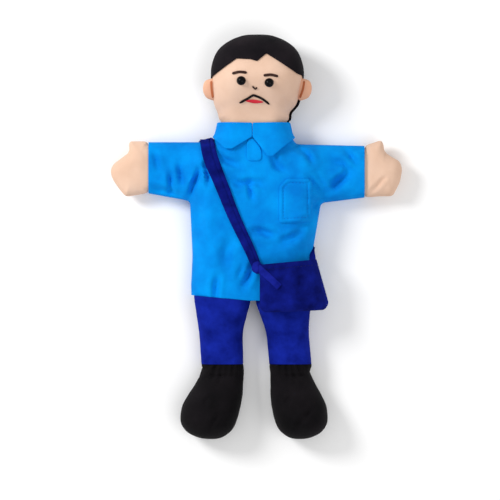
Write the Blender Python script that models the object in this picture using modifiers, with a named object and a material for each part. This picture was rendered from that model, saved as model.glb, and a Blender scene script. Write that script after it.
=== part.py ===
"""Cloth glove puppet of a man in a blue shirt with a shoulder bag, lying on its back.

Metres. +Y runs towards the head, +X is the right as seen from the front, +Z is the front.
The table is z = 0, and the origin is under the middle of the puppet.
"""

import math

import bmesh
import bpy
import numpy as np
from mathutils import Matrix, Vector

# Cloths and clearances
GAP = 0.0003
CLOTH = 0.0012
HAIR_CLOTH = 0.0013
COLLAR_CLOTH = 0.0013
TRIM_CLOTH = 0.0010
THREAD = 0.0008
STRAP_CLOTH = 0.0020
NECK_EASE = 0.0012
WRIST_EASE = 0.0014

# Shirt: heights along the body, measured from the middle of the puppet
HEM_Y = -0.0605
WAIST_Y = -0.018
ARMPIT_Y = 0.0345
SHOULDER_Y = 0.0907
NECK_EDGE_Y = 0.0965
NECK_FLARE = 0.0030
COLLAR_TOP_Y = 0.1090

# Shirt: widths
HEM_WIDTH = 0.1112
WAIST_WIDTH = 0.1120
ARMPIT_WIDTH = 0.1252
SHOULDER_WIDTH = 0.0800
SLEEVE_SPAN = 0.2060
CUFF_WIDTH = 0.0490
SLEEVE_DROP = 0.0040
BODY_X = -0.0010
BODY_LEAN = 0.0034
SLEEVE_START_X = 0.0420
SLEEVE_FULL_X = 0.0740
CHEST_TOP_Y = 0.0745
BELLY_Y = 0.0020
SHIRT_MIDDLE_Y = 0.0600

# Shirt: thicknesses, above and below the height of the side seams
SEAM_Z = 0.0150
CHEST_FRONT = 0.0250
HEM_FRONT = 0.0205
SLEEVE_FRONT = 0.0125
BODY_RIM = 0.0240
SLEEVE_RIM = 0.0130
BACK_Z = STRAP_CLOTH + GAP
SEWN_OFF = 0.0200

# Folds at each armpit: start and end measured inward and up from it, then width and depth
ARMPIT_FOLDS = (
    ((0.0000, 0.0000), (0.0106, 0.0300), 0.0085, 0.0030),
    ((0.0050, -0.0040), (0.0300, 0.0140), 0.0080, 0.0022),
    ((0.0025, -0.0120), (0.0250, -0.0300), 0.0080, 0.0020),
)

# Folds down the left of the body: start and end measured from its middle, then width and depth
BODY_FOLDS = (
    ((-0.0250, -0.0100), (-0.0290, -0.0525), 0.0090, 0.0016),
    ((-0.0450, 0.0100), (-0.0440, -0.0565), 0.0080, 0.0018),
)

# Head and neck
HEAD_X = 0.0008
HEAD_WIDTH = 0.0832
CROWN_Y = 0.1914
JAW_X = -0.0012
JAW_Y = 0.1270
CHEEK_Y = 0.1560
HEAD_MIDDLE_Y = 0.1460
HEAD_SEAM_Z = 0.0310
HEAD_FRONT = 0.0300
HEAD_RIM = 0.0340
NECK_X = -0.0026
NECK_WIDTH = 0.0610
NECK_FRONT = 0.0203
NECK_RIM = 0.0150
THROAT_X = -0.0024
THROAT_WIDTH = 0.0664
THROAT_Y = 0.1125
CHIN_X = -0.0028
CHIN_WIDTH = 0.0690
CHIN_Y = 0.1190
NECK_FOOT_Y = 0.0880
SKULL_LEVELS = ((0.00, 0.935), (0.20, 0.985), (0.42, 1.000), (0.62, 0.965), (0.78, 0.850), (0.90, 0.630),
                (0.985, 0.290))

# Finger sleeve in the neck and head
SLEEVE_BORE = 0.0190
FINGER_DEPTH = 0.0580

# Hair
HAIRLINE = ((-0.0440, 0.1505), (-0.0300, 0.1592), (-0.0178, 0.1676), (-0.0060, 0.1666), (0.0016, 0.1660),
            (0.0088, 0.1728), (0.0219, 0.1644), (0.0361, 0.1560), (0.0460, 0.1530))

# Ears
EAR_Y = 0.1412
EAR_HEIGHT = 0.0196
EAR_REACH = 0.0092
EAR_THICKNESS = 0.0066
EAR_ROOT = 0.0100
EAR_RIM = 0.0050

# Face: eyes, brows, nose, moustache and mouth
EYE_SIZE = 0.0082
EYE_Y = 0.1464
EYE_SPACING = 0.0263
EYE_MIDDLE_X = -0.0013
EYE_TILT = 0.0009
EYE_RISE = 0.0004
BROW_Y = 0.1543
BROW_SPACING = 0.0293
BROW_LENGTH = 0.0128
BROW_RISE = 0.0010
BROW_WIDTH = 0.0020
BROW_TILT = 0.0008
NOSE_Y = 0.1392
NOSE_SIZE = 0.0026
NOSE_WIDTH = 0.0010
MOUSTACHE_Y = 0.1346
MOUSTACHE_SPAN = 0.0284
MOUSTACHE_DROP = 0.0078
MOUSTACHE_WIDTH = 0.0018
MOUSTACHE_SHIFT = 0.0007
MOUSTACHE_TILT = 0.0012
MOUTH_Y = 0.1284
MOUTH_WIDTH = 0.0172
MOUTH_HEIGHT = 0.0027
MOUTH_TILT = 0.0006

# Collar, neck tab and chest pocket
COLLAR_REACH = 0.0152
COLLAR_TIPS = (((-0.0290, 0.0828), (-0.0232, 0.0828)), ((0.0156, 0.0766), (0.0106, 0.0776)))
COLLAR_MEET_Y = 0.0950
COLLAR_MEET_X = -0.0040
COLLAR_SHOULDER_DROP = 0.0014
COLLAR_SIDE_DROP = 0.0022
COLLAR_SIDE_STEP = 0.0014
COLLAR_BAND_DROP = 0.0015
COLLAR_THROAT_DROP = 0.0010
TAB_WIDTH = 0.0142
TAB_SHIFT = 0.0016
TAB_FOOT_Y = 0.0720
TAB_CORNER = (0.0045, 0.0045)
POCKET_X = 0.0368
POCKET_WIDTH = 0.0310
POCKET_TOP_Y = 0.0556
POCKET_HEIGHT = 0.0425
POCKET_CUT = 0.0075
POCKET_FOOT_SLOPE = 0.0015
POCKET_TOP_SLOPE = 0.0005
POCKET_CORNER = (0.0020, 0.0060)

# Hands
HAND_LENGTH = 0.0368
HAND_WIDTH = 0.0505
HAND_FRONT = 0.0101
HAND_RIM = 0.0110
WRIST_TUCK = 0.0060
HAND_SHAPE = ((0.05, 1.00), (0.50, 1.00), (0.53, 0.81), (0.74, 0.67), (0.94, 0.57), (1.00, 0.45),
              (0.94, 0.29), (0.76, 0.11), (0.60, 0.00), (0.40, 0.02), (0.05, 0.04))

# Trouser legs: the middle and width at the hem, knee and ankle, left then right
KNEE_Y = -0.0900
ANKLE_Y = -0.1212
LEG_TOP = ((-0.0326, 0.0546), (0.0252, 0.0538))
LEG_KNEE = ((-0.0340, 0.0432), (0.0295, 0.0424))
LEG_ANKLE = ((-0.0326, 0.0398), (0.0326, 0.0402))
LEG_LIE_Y = -0.0980
LEG_TOP_BACK = 0.0100
LEG_FRONT = 0.0135
LEG_RIM = 0.0130

# Shoes
SHOE_LENGTH = 0.0712
SHOE_WIDTH = 0.0540
SHOE_SPLAY = (-0.0132, 0.0112)
SHOE_HEIGHT = 0.0450
SHOE_SEAM_Z = 0.0190
SHOE_RIM = 0.0240
SHOE_BACK = 0.0500
GATHER_START = 0.0040
GATHER_FAN = 0.0060
GATHER_WIDTH = 0.0050
GATHER_DEPTH = 0.0028
SHOE_LEVELS = ((0.10, 0.71, -0.04), (0.27, 0.80, 0.20), (0.42, 0.92, 0.50), (0.57, 1.00, 0.80),
               (0.76, 0.98, 1.00), (0.87, 0.86, 1.00), (0.95, 0.62, 0.95), (1.00, 0.25, 0.80))

# Bag
BAG_LEFT_X = 0.0030
BAG_WIDTH = 0.0660
BAG_TOP_Y = -0.0215
BAG_TOP_SLANT = 0.0048
BAG_HEIGHT = 0.0500
BAG_SPREAD = 0.0105
BAG_THICKNESS = 0.0116
BAG_RIM = 0.0080
BAG_CORNER = 0.0040
BAG_DROP_X = 0.0320
BAG_DROP = 0.0235

# Strap: the middle line over the front and over the back, and its knot and tail
STRAP_FRONT = ((-0.0482, 0.0935), (-0.0472, 0.0880), (-0.0410, 0.0690), (-0.0335, 0.0527), (-0.0256, 0.0322),
               (-0.0145, 0.0065), (-0.0035, -0.0180), (0.0006, -0.0290))
STRAP_BACK = ((-0.0482, 0.0935), (-0.0472, 0.0880), (-0.0110, 0.0450), (0.0260, 0.0120), (0.0640, -0.0210))
STRAP_WIDTH = 0.0134
STRAP_END_WIDTH = 0.0092
STRAP_RISE_Z = 0.0270
STRAP_TURN_Z = 0.0110
KNOT_SIZE = (0.0104, 0.0112, 0.0100)
STRAP_TAIL = ((0.0002, -0.0275), (0.0080, -0.0345), (0.0216, -0.0474))
TAIL_WIDTH = 0.0052

# Mesh steps along the outlines
SHIRT_STEP = 0.0130
PIECE_STEP = 0.0080
EAR_STEP = 0.0050
FACE_STEP = 0.0030
NOSE_STEP = 0.0020
MOUSTACHE_STEP = 0.0040

HEAD_FLOOR = GAP + HAIR_CLOTH
STUB_HALF = NECK_WIDTH / 2 + CLOTH + NECK_EASE
COLLAR_LAYER = (GAP, GAP + COLLAR_CLOTH)
TRIM_LAYER = (GAP, GAP + TRIM_CLOTH)
THREAD_LAYER = (GAP, GAP + THREAD)
STRAP_LAYER = (GAP, GAP + STRAP_CLOTH)
HIGH_Z = 0.1200
LOW_Z = -0.0200
SIDES = ((-1, "left"), (1, "right"))


def ease(start, end, value):
    """0 before start, 1 after end, smooth between."""
    share = min(max((value - start) / (end - start), 0.0), 1.0)
    return share * share * (3.0 - 2.0 * share)


def mix(first, second, share):
    return first + (second - first) * share


def read(setting, x, y):
    """A setting of a form is a plain size or a rule over the plan."""
    return setting(x, y) if callable(setting) else setting


def anticlockwise(points):
    area = sum(a[0] * b[1] - b[0] * a[1] for a, b in zip(points, points[1:] + points[:1]))
    return points if area > 0 else points[::-1]


def curve_point(before, start, end, after, share):
    """A point of the smooth curve from start to end."""
    square = share * share
    cube = square * share
    return 0.5 * (
        2.0 * start
        + (end - before) * share
        + (2.0 * before - 5.0 * start + 4.0 * end - after) * square
        + (3.0 * start - before - 3.0 * end + after) * cube
    )


def smooth_loop(points, step):
    """Closed smooth curve through the points, in even steps."""
    knots = [Vector(point) for point in anticlockwise(list(points))]
    count = len(knots)
    loop = []
    for i in range(count):
        before, start, end, after = (knots[(i + k) % count] for k in (-1, 0, 1, 2))
        pieces = max(1, round((end - start).length / step))
        loop += [curve_point(before, start, end, after, k / pieces) for k in range(pieces)]
    return loop


def straight_loop(points, step):
    """Closed outline of straight sides, in even steps."""
    knots = [Vector(point) for point in anticlockwise(list(points))]
    loop = []
    for start, end in zip(knots, knots[1:] + knots[:1]):
        pieces = max(1, round((end - start).length / step))
        loop += [start.lerp(end, k / pieces) for k in range(pieces)]
    return loop


def smooth_path(points, step):
    """Open smooth curve through the points, in even steps."""
    knots = [Vector(point) for point in points]
    path = []
    for i in range(len(knots) - 1):
        before = knots[max(i - 1, 0)]
        after = knots[min(i + 2, len(knots) - 1)]
        pieces = max(1, round((knots[i + 1] - knots[i]).length / step))
        path += [curve_point(before, knots[i], knots[i + 1], after, k / pieces) for k in range(pieces)]
    return path + [knots[-1]]


def band(points, width, end_width, step):
    """Outline of a strip along a smooth path, from one width to the other."""
    path = smooth_path(points, step)
    left, right = [], []
    for i, place in enumerate(path):
        ahead = (path[min(i + 1, len(path) - 1)] - path[max(i - 1, 0)]).normalized()
        across = Vector((-ahead.y, ahead.x)) * mix(width, end_width, i / (len(path) - 1)) / 2
        left.append(place + across)
        right.append(place - across)
    return [tuple(place) for place in left + right[::-1]]


def stitch(points, width, step):
    """Outline of a line of thread: widest in the middle, narrow at both ends."""
    path = smooth_path(points, step)
    left, right = [], []
    for i, place in enumerate(path):
        ahead = (path[min(i + 1, len(path) - 1)] - path[max(i - 1, 0)]).normalized()
        share = 0.45 + 0.55 * math.sin(math.pi * i / (len(path) - 1))
        across = Vector((-ahead.y, ahead.x)) * width * share / 2
        left.append(place + across)
        right.append(place - across)
    return [tuple(place) for place in left + right[::-1]]


class Form:
    """Two faces of cloth that swell away from the seam round an outline.

    The outline is seen from the front, and every point of it can be seen from the centre.
    seam is the seam's height, front and back are the swell above and below it, and rim is how far
    in from the seam the form is round. floor flattens the underside. A fold is
    (start, end, width, depth), cut into the front.
    """

    def __init__(self, outline, centre, rings, seam, front, back, rim, floor=LOW_Z, folds=()):
        self.outline = [Vector(point) for point in outline]
        self.centre = Vector(centre)
        self.rings = rings
        self.seam = seam
        self.front = front
        self.back = back
        self.rim = rim
        self.floor = floor
        self.folds = folds
        self.starts = np.array([tuple(point) for point in self.outline])
        self.sides = np.roll(self.starts, -1, axis=0) - self.starts

    def to_seam(self, x, y):
        """Distance in plan from a point to the nearest side of the outline."""
        offset = np.array((x, y)) - self.starts
        along = (offset * self.sides).sum(axis=1) / np.maximum((self.sides ** 2).sum(axis=1), 1e-12)
        nearest = self.sides * np.clip(along, 0.0, 1.0)[:, None]
        return float(np.sqrt(((offset - nearest) ** 2).sum(axis=1)).min())

    def fold_depth(self, x, y):
        depth = 0.0
        for start, end, width, deep in self.folds:
            line = Vector(end) - Vector(start)
            share = min(max((Vector((x, y)) - Vector(start)).dot(line) / line.length_squared, 0.0), 1.0)
            away = (Vector((x, y)) - Vector(start) - line * share).length / width
            depth += deep * max(0.0, 1.0 - away * away) ** 2
        return depth

    def swell(self, x, y):
        inward = min(self.to_seam(x, y) / read(self.rim, x, y), 1.0)
        return math.sqrt(max(1.0 - (1.0 - inward) ** 2, 0.0))

    def height(self, x, y, side):
        """Height of the front (side 1) or the back (side -1) over a point of the plan."""
        seam = read(self.seam, x, y)
        if side > 0:
            return seam + (read(self.front, x, y) - self.fold_depth(x, y)) * self.swell(x, y)
        return max(seam - read(self.back, x, y) * self.swell(x, y), self.floor)

    def build(self, grow=0.0):
        """The closed form, with its surface moved out by grow. Folds don't turn that move."""
        count = len(self.outline)
        shape = bmesh.new()
        bmesh.ops.create_uvsphere(shape, u_segments=count, v_segments=2 * self.rings, radius=1.0)
        folds = {}
        for vert in shape.verts:
            reach = min(math.hypot(vert.co.x, vert.co.y), 1.0)
            turn = math.atan2(vert.co.y, vert.co.x) / math.tau - 0.25
            place = self.centre.lerp(self.outline[round(turn * count) % count], reach)
            side = 0.0 if abs(vert.co.z) < 1e-5 else math.copysign(1.0, vert.co.z)
            z = self.height(place.x, place.y, side) if side else read(self.seam, place.x, place.y)
            fold = self.fold_depth(place.x, place.y) * self.swell(place.x, place.y) if side > 0 else 0.0
            folds[vert.index] = fold
            vert.co = (place.x, place.y, z + fold)
        shape.normal_update()
        if grow:
            moves = []
            for vert in shape.verts:
                around = Vector()
                for edge in vert.link_edges:
                    around += edge.other_vert(vert).normal
                moves.append((vert.normal + around / len(vert.link_edges)).normalized() * grow)
            for vert, move in zip(shape.verts, moves):
                vert.co += move
        for vert in shape.verts:
            vert.co.z -= folds[vert.index]
        bmesh.ops.triangulate(shape, faces=shape.faces, quad_method="FIXED")
        return shape

    def layer(self, inner, outer):
        """The cloth between two distances from the form's surface."""
        shape = self.build(outer)
        lining = self.build(inner)
        bmesh.ops.reverse_faces(lining, faces=lining.faces)
        sheet = bpy.data.meshes.new("lining")
        lining.to_mesh(sheet)
        lining.free()
        shape.from_mesh(sheet)
        bpy.data.meshes.remove(sheet)
        return shape


def cut_flat(shape, place, normal):
    """Cut a closed shape off at a plane and close the cut."""
    geometry = shape.verts[:] + shape.edges[:] + shape.faces[:]
    bmesh.ops.bisect_plane(shape, geom=geometry, dist=1e-7, plane_co=place, plane_no=normal, clear_outer=True)
    open_edges = [edge for edge in shape.edges if edge.is_boundary]
    bmesh.ops.holes_fill(shape, edges=open_edges)
    return shape


def cloth(name, colour, roughness, metallic=0.0):
    material = bpy.data.materials.new(name)
    material.use_nodes = True
    shader = material.node_tree.nodes["Principled BSDF"]
    shader.inputs["Base Color"].default_value = (*colour, 1.0)
    shader.inputs["Roughness"].default_value = roughness
    shader.inputs["Metallic"].default_value = metallic
    return material


def clear_scene():
    for item in list(bpy.data.objects):
        bpy.data.objects.remove(item, do_unlink=True)


def new_collection(name):
    collection = bpy.data.collections.new(name)
    bpy.context.scene.collection.children.link(collection)
    return collection


def add_piece(name, shape, material):
    mesh = bpy.data.meshes.new(name)
    shape.to_mesh(mesh)
    shape.free()
    mesh.materials.append(material)
    mesh.shade_smooth()
    mesh.set_sharp_from_angle(angle=math.radians(50))
    piece = bpy.data.objects.new(name, mesh)
    puppet.objects.link(piece)
    return piece


def add_cutter(name, shape):
    mesh = bpy.data.meshes.new(name)
    shape.to_mesh(mesh)
    shape.free()
    cutter = bpy.data.objects.new(name, mesh)
    cutter.hide_render = True
    cutter.display_type = "WIRE"
    cutters.objects.link(cutter)
    return cutter


def block(name, low, high):
    """Box cutter from its lowest to its highest corner."""
    shape = bmesh.new()
    bmesh.ops.create_cube(shape, size=1.0)
    size = Vector(high) - Vector(low)
    bmesh.ops.scale(shape, vec=size, verts=shape.verts)
    bmesh.ops.translate(shape, vec=(Vector(low) + Vector(high)) / 2, verts=shape.verts)
    return add_cutter(name, shape)


def pattern(name, outline, low, high):
    """Upright cutter with a flat outline, from one height to the other."""
    curve = bpy.data.curves.new(name, "CURVE")
    curve.dimensions = "2D"
    curve.fill_mode = "BOTH"
    curve.extrude = (high - low) / 2
    spline = curve.splines.new("POLY")
    spline.points.add(len(outline) - 1)
    for point, place in zip(spline.points, outline):
        point.co = (place[0], place[1], 0.0, 1.0)
    spline.use_cyclic_u = True
    drawn = bpy.data.objects.new(name, curve)
    drawn.location.z = (high + low) / 2
    cutters.objects.link(drawn)
    bpy.context.view_layer.update()
    mesh = bpy.data.meshes.new_from_object(drawn.evaluated_get(bpy.context.evaluated_depsgraph_get()))
    shape = bmesh.new()
    shape.from_mesh(mesh)
    shape.transform(drawn.matrix_world)
    bmesh.ops.remove_doubles(shape, verts=shape.verts, dist=1e-6)
    bmesh.ops.recalc_face_normals(shape, faces=shape.faces)
    bpy.data.objects.remove(drawn, do_unlink=True)
    bpy.data.meshes.remove(mesh)
    bpy.data.curves.remove(curve)
    return add_cutter(name, shape)


def combine(piece, operation, other):
    modifier = piece.modifiers.new(operation.lower() + " " + other.name, "BOOLEAN")
    modifier.operation = operation
    modifier.solver = "EXACT"
    modifier.object = other
    return piece


# Shapes in plan

def body_middle(y):
    """The body leans a little to one side, from the armpits down to the hem."""
    return BODY_X - BODY_LEAN * ease(ARMPIT_Y, HEM_Y, y)


def body_side(side, y, width):
    return (body_middle(y) + side * width / 2, y)


def sleeve_drop(side):
    return SLEEVE_DROP if side > 0 else 0.0


def shirt_outline():
    """T shape of the shirt. Neck, cuffs and hem run on by SEWN_OFF, and are cut off later."""
    halves = {}
    for side, label in SIDES:
        drop = sleeve_drop(side)
        top = SHOULDER_Y - drop
        low = top - CUFF_WIDTH
        end_x = side * SLEEVE_SPAN / 2
        past_x = side * (SLEEVE_SPAN / 2 + SEWN_OFF)
        armpit = body_side(side, ARMPIT_Y - drop / 2, ARMPIT_WIDTH)
        slope = (low - armpit[1]) / (end_x - armpit[0])
        halves[label] = [
            body_side(side, HEM_Y - SEWN_OFF, HEM_WIDTH),
            body_side(side, WAIST_Y, WAIST_WIDTH),
            armpit,
            (past_x, low + slope * (past_x - end_x)),
            (past_x, top),
            (NECK_X + side * SHOULDER_WIDTH / 2, SHOULDER_Y - drop / 2),
            (NECK_X + side * (STUB_HALF + NECK_FLARE), NECK_EDGE_Y),
            (NECK_X + side * STUB_HALF, COLLAR_TOP_Y),
            (NECK_X + side * STUB_HALF, COLLAR_TOP_Y + SEWN_OFF),
        ]
    return straight_loop(halves["right"] + halves["left"][::-1], SHIRT_STEP)


def toward_sleeve(x):
    return ease(SLEEVE_START_X, SLEEVE_FULL_X, abs(x - BODY_X))


def toward_neck(y):
    return ease(CHEST_TOP_Y, NECK_EDGE_Y, y)


def shirt_front_swell(x, y):
    body = mix(CHEST_FRONT, HEM_FRONT, ease(BELLY_Y, HEM_Y, y))
    body = mix(body, NECK_FRONT + CLOTH + NECK_EASE, toward_neck(y))
    return mix(body, SLEEVE_FRONT, toward_sleeve(x))


def shirt_rim(x, y):
    body = mix(BODY_RIM, NECK_RIM + CLOTH + NECK_EASE, toward_neck(y))
    return mix(body, SLEEVE_RIM, toward_sleeve(x))


def shirt_folds():
    """Soft creases that the pull of the sleeves and the strap leaves in the front."""
    folds = []
    for side, label in SIDES:
        pit_x, pit_y = body_side(side, ARMPIT_Y, ARMPIT_WIDTH)
        for (start_x, start_y), (end_x, end_y), width, depth in ARMPIT_FOLDS:
            start = (pit_x - side * start_x, pit_y + start_y)
            end = (pit_x - side * end_x, pit_y + end_y)
            folds.append((start, end, width, depth))
    for (start_x, start_y), (end_x, end_y), width, depth in BODY_FOLDS:
        start = (body_middle(start_y) + start_x, start_y)
        end = (body_middle(end_y) + end_x, end_y)
        folds.append((start, end, width, depth))
    return folds


def head_outline():
    """Skull over a wide neck. The neck runs on by SEWN_OFF, and is cut off later."""
    right, left = [], []
    for side, half in ((1, right), (-1, left)):
        neck = NECK_X + side * NECK_WIDTH / 2
        half.append((neck, NECK_FOOT_Y - SEWN_OFF))
        half.append((neck, mix(NECK_FOOT_Y, COLLAR_TOP_Y, 0.5)))
        half.append((neck, COLLAR_TOP_Y - GAP))
        half.append((THROAT_X + side * THROAT_WIDTH / 2, THROAT_Y))
        half.append((CHIN_X + side * CHIN_WIDTH / 2, CHIN_Y))
        for up, out in SKULL_LEVELS:
            middle = mix(JAW_X, HEAD_X, min(up / SKULL_LEVELS[2][0], 1.0))
            half.append((middle + side * out * HEAD_WIDTH / 2, mix(JAW_Y, CROWN_Y, up)))
    return smooth_loop(right + left[::-1], PIECE_STEP)


def toward_head(y):
    return ease(COLLAR_TOP_Y, CHEEK_Y, y)


def head_seam(x, y):
    return mix(SEAM_Z, HEAD_SEAM_Z, toward_head(y))


def head_back(x, y):
    return mix(SEAM_Z - BACK_Z - CLOTH - NECK_EASE, HEAD_SEAM_Z, toward_head(y))


def head_front(x, y):
    return mix(NECK_FRONT, HEAD_FRONT, toward_head(y))


def head_rim(x, y):
    return mix(NECK_RIM, HEAD_RIM, toward_head(y))


def ear_seam(x, y):
    """The ears stand on the seam between the face and the hair."""
    return head_seam(x, y) + GAP + EAR_THICKNESS / 2


def hand_outline(side):
    """Mitten with its thumb on top. The wrist runs on into the sleeve."""
    cuff_x = side * SLEEVE_SPAN / 2
    top = SHOULDER_Y - sleeve_drop(side) - (CUFF_WIDTH - HAND_WIDTH) / 2
    inner_top = SHOULDER_Y - sleeve_drop(side) - CLOTH - WRIST_EASE
    inner_low = SHOULDER_Y - sleeve_drop(side) - CUFF_WIDTH + CLOTH + WRIST_EASE
    points = [(cuff_x - side * SEWN_OFF, inner_top), (cuff_x + side * GAP, inner_top)]
    points += [(cuff_x + side * HAND_LENGTH * out, top - HAND_WIDTH * (1.0 - up)) for out, up in HAND_SHAPE]
    points += [(cuff_x + side * GAP, inner_low), (cuff_x - side * SEWN_OFF, inner_low)]
    return straight_loop(points, PIECE_STEP)


def leg_outline(index):
    rows = []
    for y, (middle, width) in (
        (HEM_Y + SEWN_OFF, LEG_TOP[index]),
        (HEM_Y, LEG_TOP[index]),
        (KNEE_Y, LEG_KNEE[index]),
        (ANKLE_Y, LEG_ANKLE[index]),
        (ANKLE_Y - SEWN_OFF, LEG_ANKLE[index]),
    ):
        rows.append((middle - width / 2, middle + width / 2, y))
    right = [(high, y) for low, high, y in rows]
    left = [(low, y) for low, high, y in rows]
    return straight_loop(left[::-1] + right, PIECE_STEP)


def leg_lift(y):
    """The leg hangs from the front of the shirt at the hem, and lies on the table lower down."""
    return ease(LEG_LIE_Y, HEM_Y, y)


def leg_seam(x, y):
    return mix(LEG_FRONT, SEAM_Z + HEM_FRONT - LEG_TOP_BACK, leg_lift(y))


def leg_front(x, y):
    return mix(LEG_FRONT, LEG_TOP_BACK, leg_lift(y))


def shoe_outline(index, side):
    """Shoe that widens and turns out from the ankle to the toe."""
    ankle_x, ankle_width = LEG_ANKLE[index]
    outer = [(ankle_x + side * ankle_width / 2, ANKLE_Y + SEWN_OFF), (ankle_x + side * ankle_width / 2, ANKLE_Y)]
    inner = [(ankle_x - side * ankle_width / 2, ANKLE_Y + SEWN_OFF), (ankle_x - side * ankle_width / 2, ANKLE_Y)]
    for down, width, splay in SHOE_LEVELS:
        middle = ankle_x + SHOE_SPLAY[index] * splay
        y = ANKLE_Y - SHOE_LENGTH * down
        outer.append((middle + side * width * SHOE_WIDTH / 2, y))
        inner.append((middle - side * width * SHOE_WIDTH / 2, y))
    return smooth_loop(outer + inner[::-1], PIECE_STEP)


def toward_toe(y):
    return ease(ANKLE_Y, ANKLE_Y - 0.55 * SHOE_LENGTH, y)


def shoe_seam(x, y):
    return mix(LEG_FRONT, SHOE_SEAM_Z, toward_toe(y))


def shoe_front(x, y):
    return mix(LEG_FRONT, SHOE_HEIGHT - SHOE_SEAM_Z, toward_toe(y))


def shoe_rim(x, y):
    return mix(LEG_RIM, SHOE_RIM, toward_toe(y))


def shoe_folds(index, side):
    """Gathers that fan out from the ankle into the shoe."""
    ankle_x, ankle_width = LEG_ANKLE[index]
    folds = []
    for share in (-0.62, -0.22, 0.20, 0.60):
        start = (ankle_x + share * ankle_width / 2, ANKLE_Y + GATHER_START)
        drift = SHOE_SPLAY[index] * 0.35 + share * GATHER_FAN
        end = (start[0] + drift, ANKLE_Y - 0.30 * SHOE_LENGTH)
        folds.append((start, end, GATHER_WIDTH, GATHER_DEPTH))
    return folds


def bag_outline():
    left, right = BAG_LEFT_X, BAG_LEFT_X + BAG_WIDTH
    top, low = BAG_TOP_Y, BAG_TOP_Y - BAG_HEIGHT
    points = [
        (left, top + SEWN_OFF),
        (left, low + BAG_CORNER),
        (left + BAG_CORNER, low),
        (right - BAG_CORNER, low + BAG_CORNER / 2),
        (right, low + 2 * BAG_CORNER),
        (right - BAG_SPREAD, top + SEWN_OFF / 4),
        (right - BAG_SPREAD, top + SEWN_OFF),
    ]
    return straight_loop(points, PIECE_STEP)


def bag_seam(x, y):
    """The bag lies on the front of the shirt, and its outer end hangs down beside the body."""
    on_body = SEAM_Z + CHEST_FRONT + GAP + BAG_THICKNESS / 2
    right = BAG_LEFT_X + BAG_WIDTH
    return on_body - BAG_DROP * max(0.0, (x - BAG_DROP_X) / (right - BAG_DROP_X)) ** 1.6


def line_y(start, end, x):
    """Height at x of the straight line through two points."""
    return start[1] + (end[1] - start[1]) * (x - start[0]) / (end[0] - start[0])


# The forms that the cloth pieces are cut from

def make_forms():
    forms = {}
    forms["shirt"] = Form(
        shirt_outline(), (BODY_X, SHIRT_MIDDLE_Y), 6, SEAM_Z, shirt_front_swell, SEAM_Z - BACK_Z, shirt_rim,
        floor=BACK_Z, folds=shirt_folds(),
    )
    forms["head"] = Form(
        head_outline(), (HEAD_X, HEAD_MIDDLE_Y), 6, head_seam, head_front, head_back, head_rim, floor=HEAD_FLOOR,
    )
    for index, (side, label) in enumerate(SIDES):
        middle_y = SHOULDER_Y - sleeve_drop(side) - CUFF_WIDTH / 2
        forms["hand_" + label] = Form(
            hand_outline(side), (side * (SLEEVE_SPAN / 2 + 0.25 * HAND_LENGTH), middle_y), 3,
            SEAM_Z, HAND_FRONT, HAND_FRONT, HAND_RIM,
        )
        leg_middle = (mix(LEG_KNEE[index][0], LEG_TOP[index][0], 0.3), KNEE_Y)
        forms["leg_" + label] = Form(
            leg_outline(index), leg_middle, 4, leg_seam, leg_front, leg_front, LEG_RIM, floor=0.0,
        )
        shoe_middle = (LEG_ANKLE[index][0] + 0.6 * SHOE_SPLAY[index], ANKLE_Y - 0.58 * SHOE_LENGTH)
        forms["shoe_" + label] = Form(
            shoe_outline(index, side), shoe_middle, 5, shoe_seam, shoe_front, SHOE_BACK, shoe_rim,
            floor=0.0, folds=shoe_folds(index, side),
        )
    bag_middle = (BAG_LEFT_X + 0.45 * BAG_WIDTH, BAG_TOP_Y - 0.45 * BAG_HEIGHT)
    forms["bag"] = Form(
        bag_outline(), bag_middle, 4, bag_seam, BAG_THICKNESS / 2, BAG_THICKNESS / 2, BAG_RIM,
    )
    return forms


def make_shirt(forms, material):
    wide = SLEEVE_SPAN / 2
    for name, low_z, high_z in (
        ("shirt_front", SEAM_Z + GAP / 2, HIGH_Z),
        ("shirt_back", LOW_Z, SEAM_Z - GAP / 2),
    ):
        region = block(name + "_region", (-wide, HEM_Y, low_z), (wide, NECK_EDGE_Y, high_z))
        panel = add_piece(name, forms["shirt"].layer(-CLOTH, 0.0), material)
        join_flat_faces(combine(panel, "INTERSECT", region))


def collar_leaf(side):
    """Outline of one leaf: from the neck's side, down to its point, and up to the middle."""
    outer_x = NECK_X + side * (STUB_HALF + COLLAR_REACH)
    tip_out, tip_in = COLLAR_TIPS[side > 0]
    return {
        "top": (outer_x, COLLAR_TOP_Y),
        "shoulder": (outer_x, NECK_EDGE_Y - COLLAR_SHOULDER_DROP),
        "side": (NECK_X + side * (STUB_HALF + COLLAR_SIDE_STEP), NECK_EDGE_Y - COLLAR_SIDE_DROP),
        "tip_out": tip_out,
        "tip_in": tip_in,
        "meet": (COLLAR_MEET_X + side * GAP, COLLAR_MEET_Y),
        "throat": (COLLAR_MEET_X + side * GAP, COLLAR_TOP_Y - COLLAR_THROAT_DROP),
    }


def make_collar(forms, material):
    for side, label in SIDES:
        leaf = collar_leaf(side)
        outline = [leaf[corner] for corner in ("top", "shoulder", "side", "tip_out", "tip_in", "meet", "throat")]
        cutter = pattern("collar_region_" + label, outline, SEAM_Z + GAP / 2, HIGH_Z)
        piece = add_piece("collar_" + label, forms["shirt"].layer(*COLLAR_LAYER), material)
        join_flat_faces(combine(piece, "INTERSECT", cutter))
    wide = STUB_HALF + COLLAR_REACH
    low = (NECK_X - wide, NECK_EDGE_Y - COLLAR_BAND_DROP, LOW_Z)
    region = block("collar_band_region", low, (NECK_X + wide, COLLAR_TOP_Y, SEAM_Z - GAP / 2))
    band_piece = add_piece("collar_band", forms["shirt"].layer(*COLLAR_LAYER), material)
    join_flat_faces(combine(band_piece, "INTERSECT", region))


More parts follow.
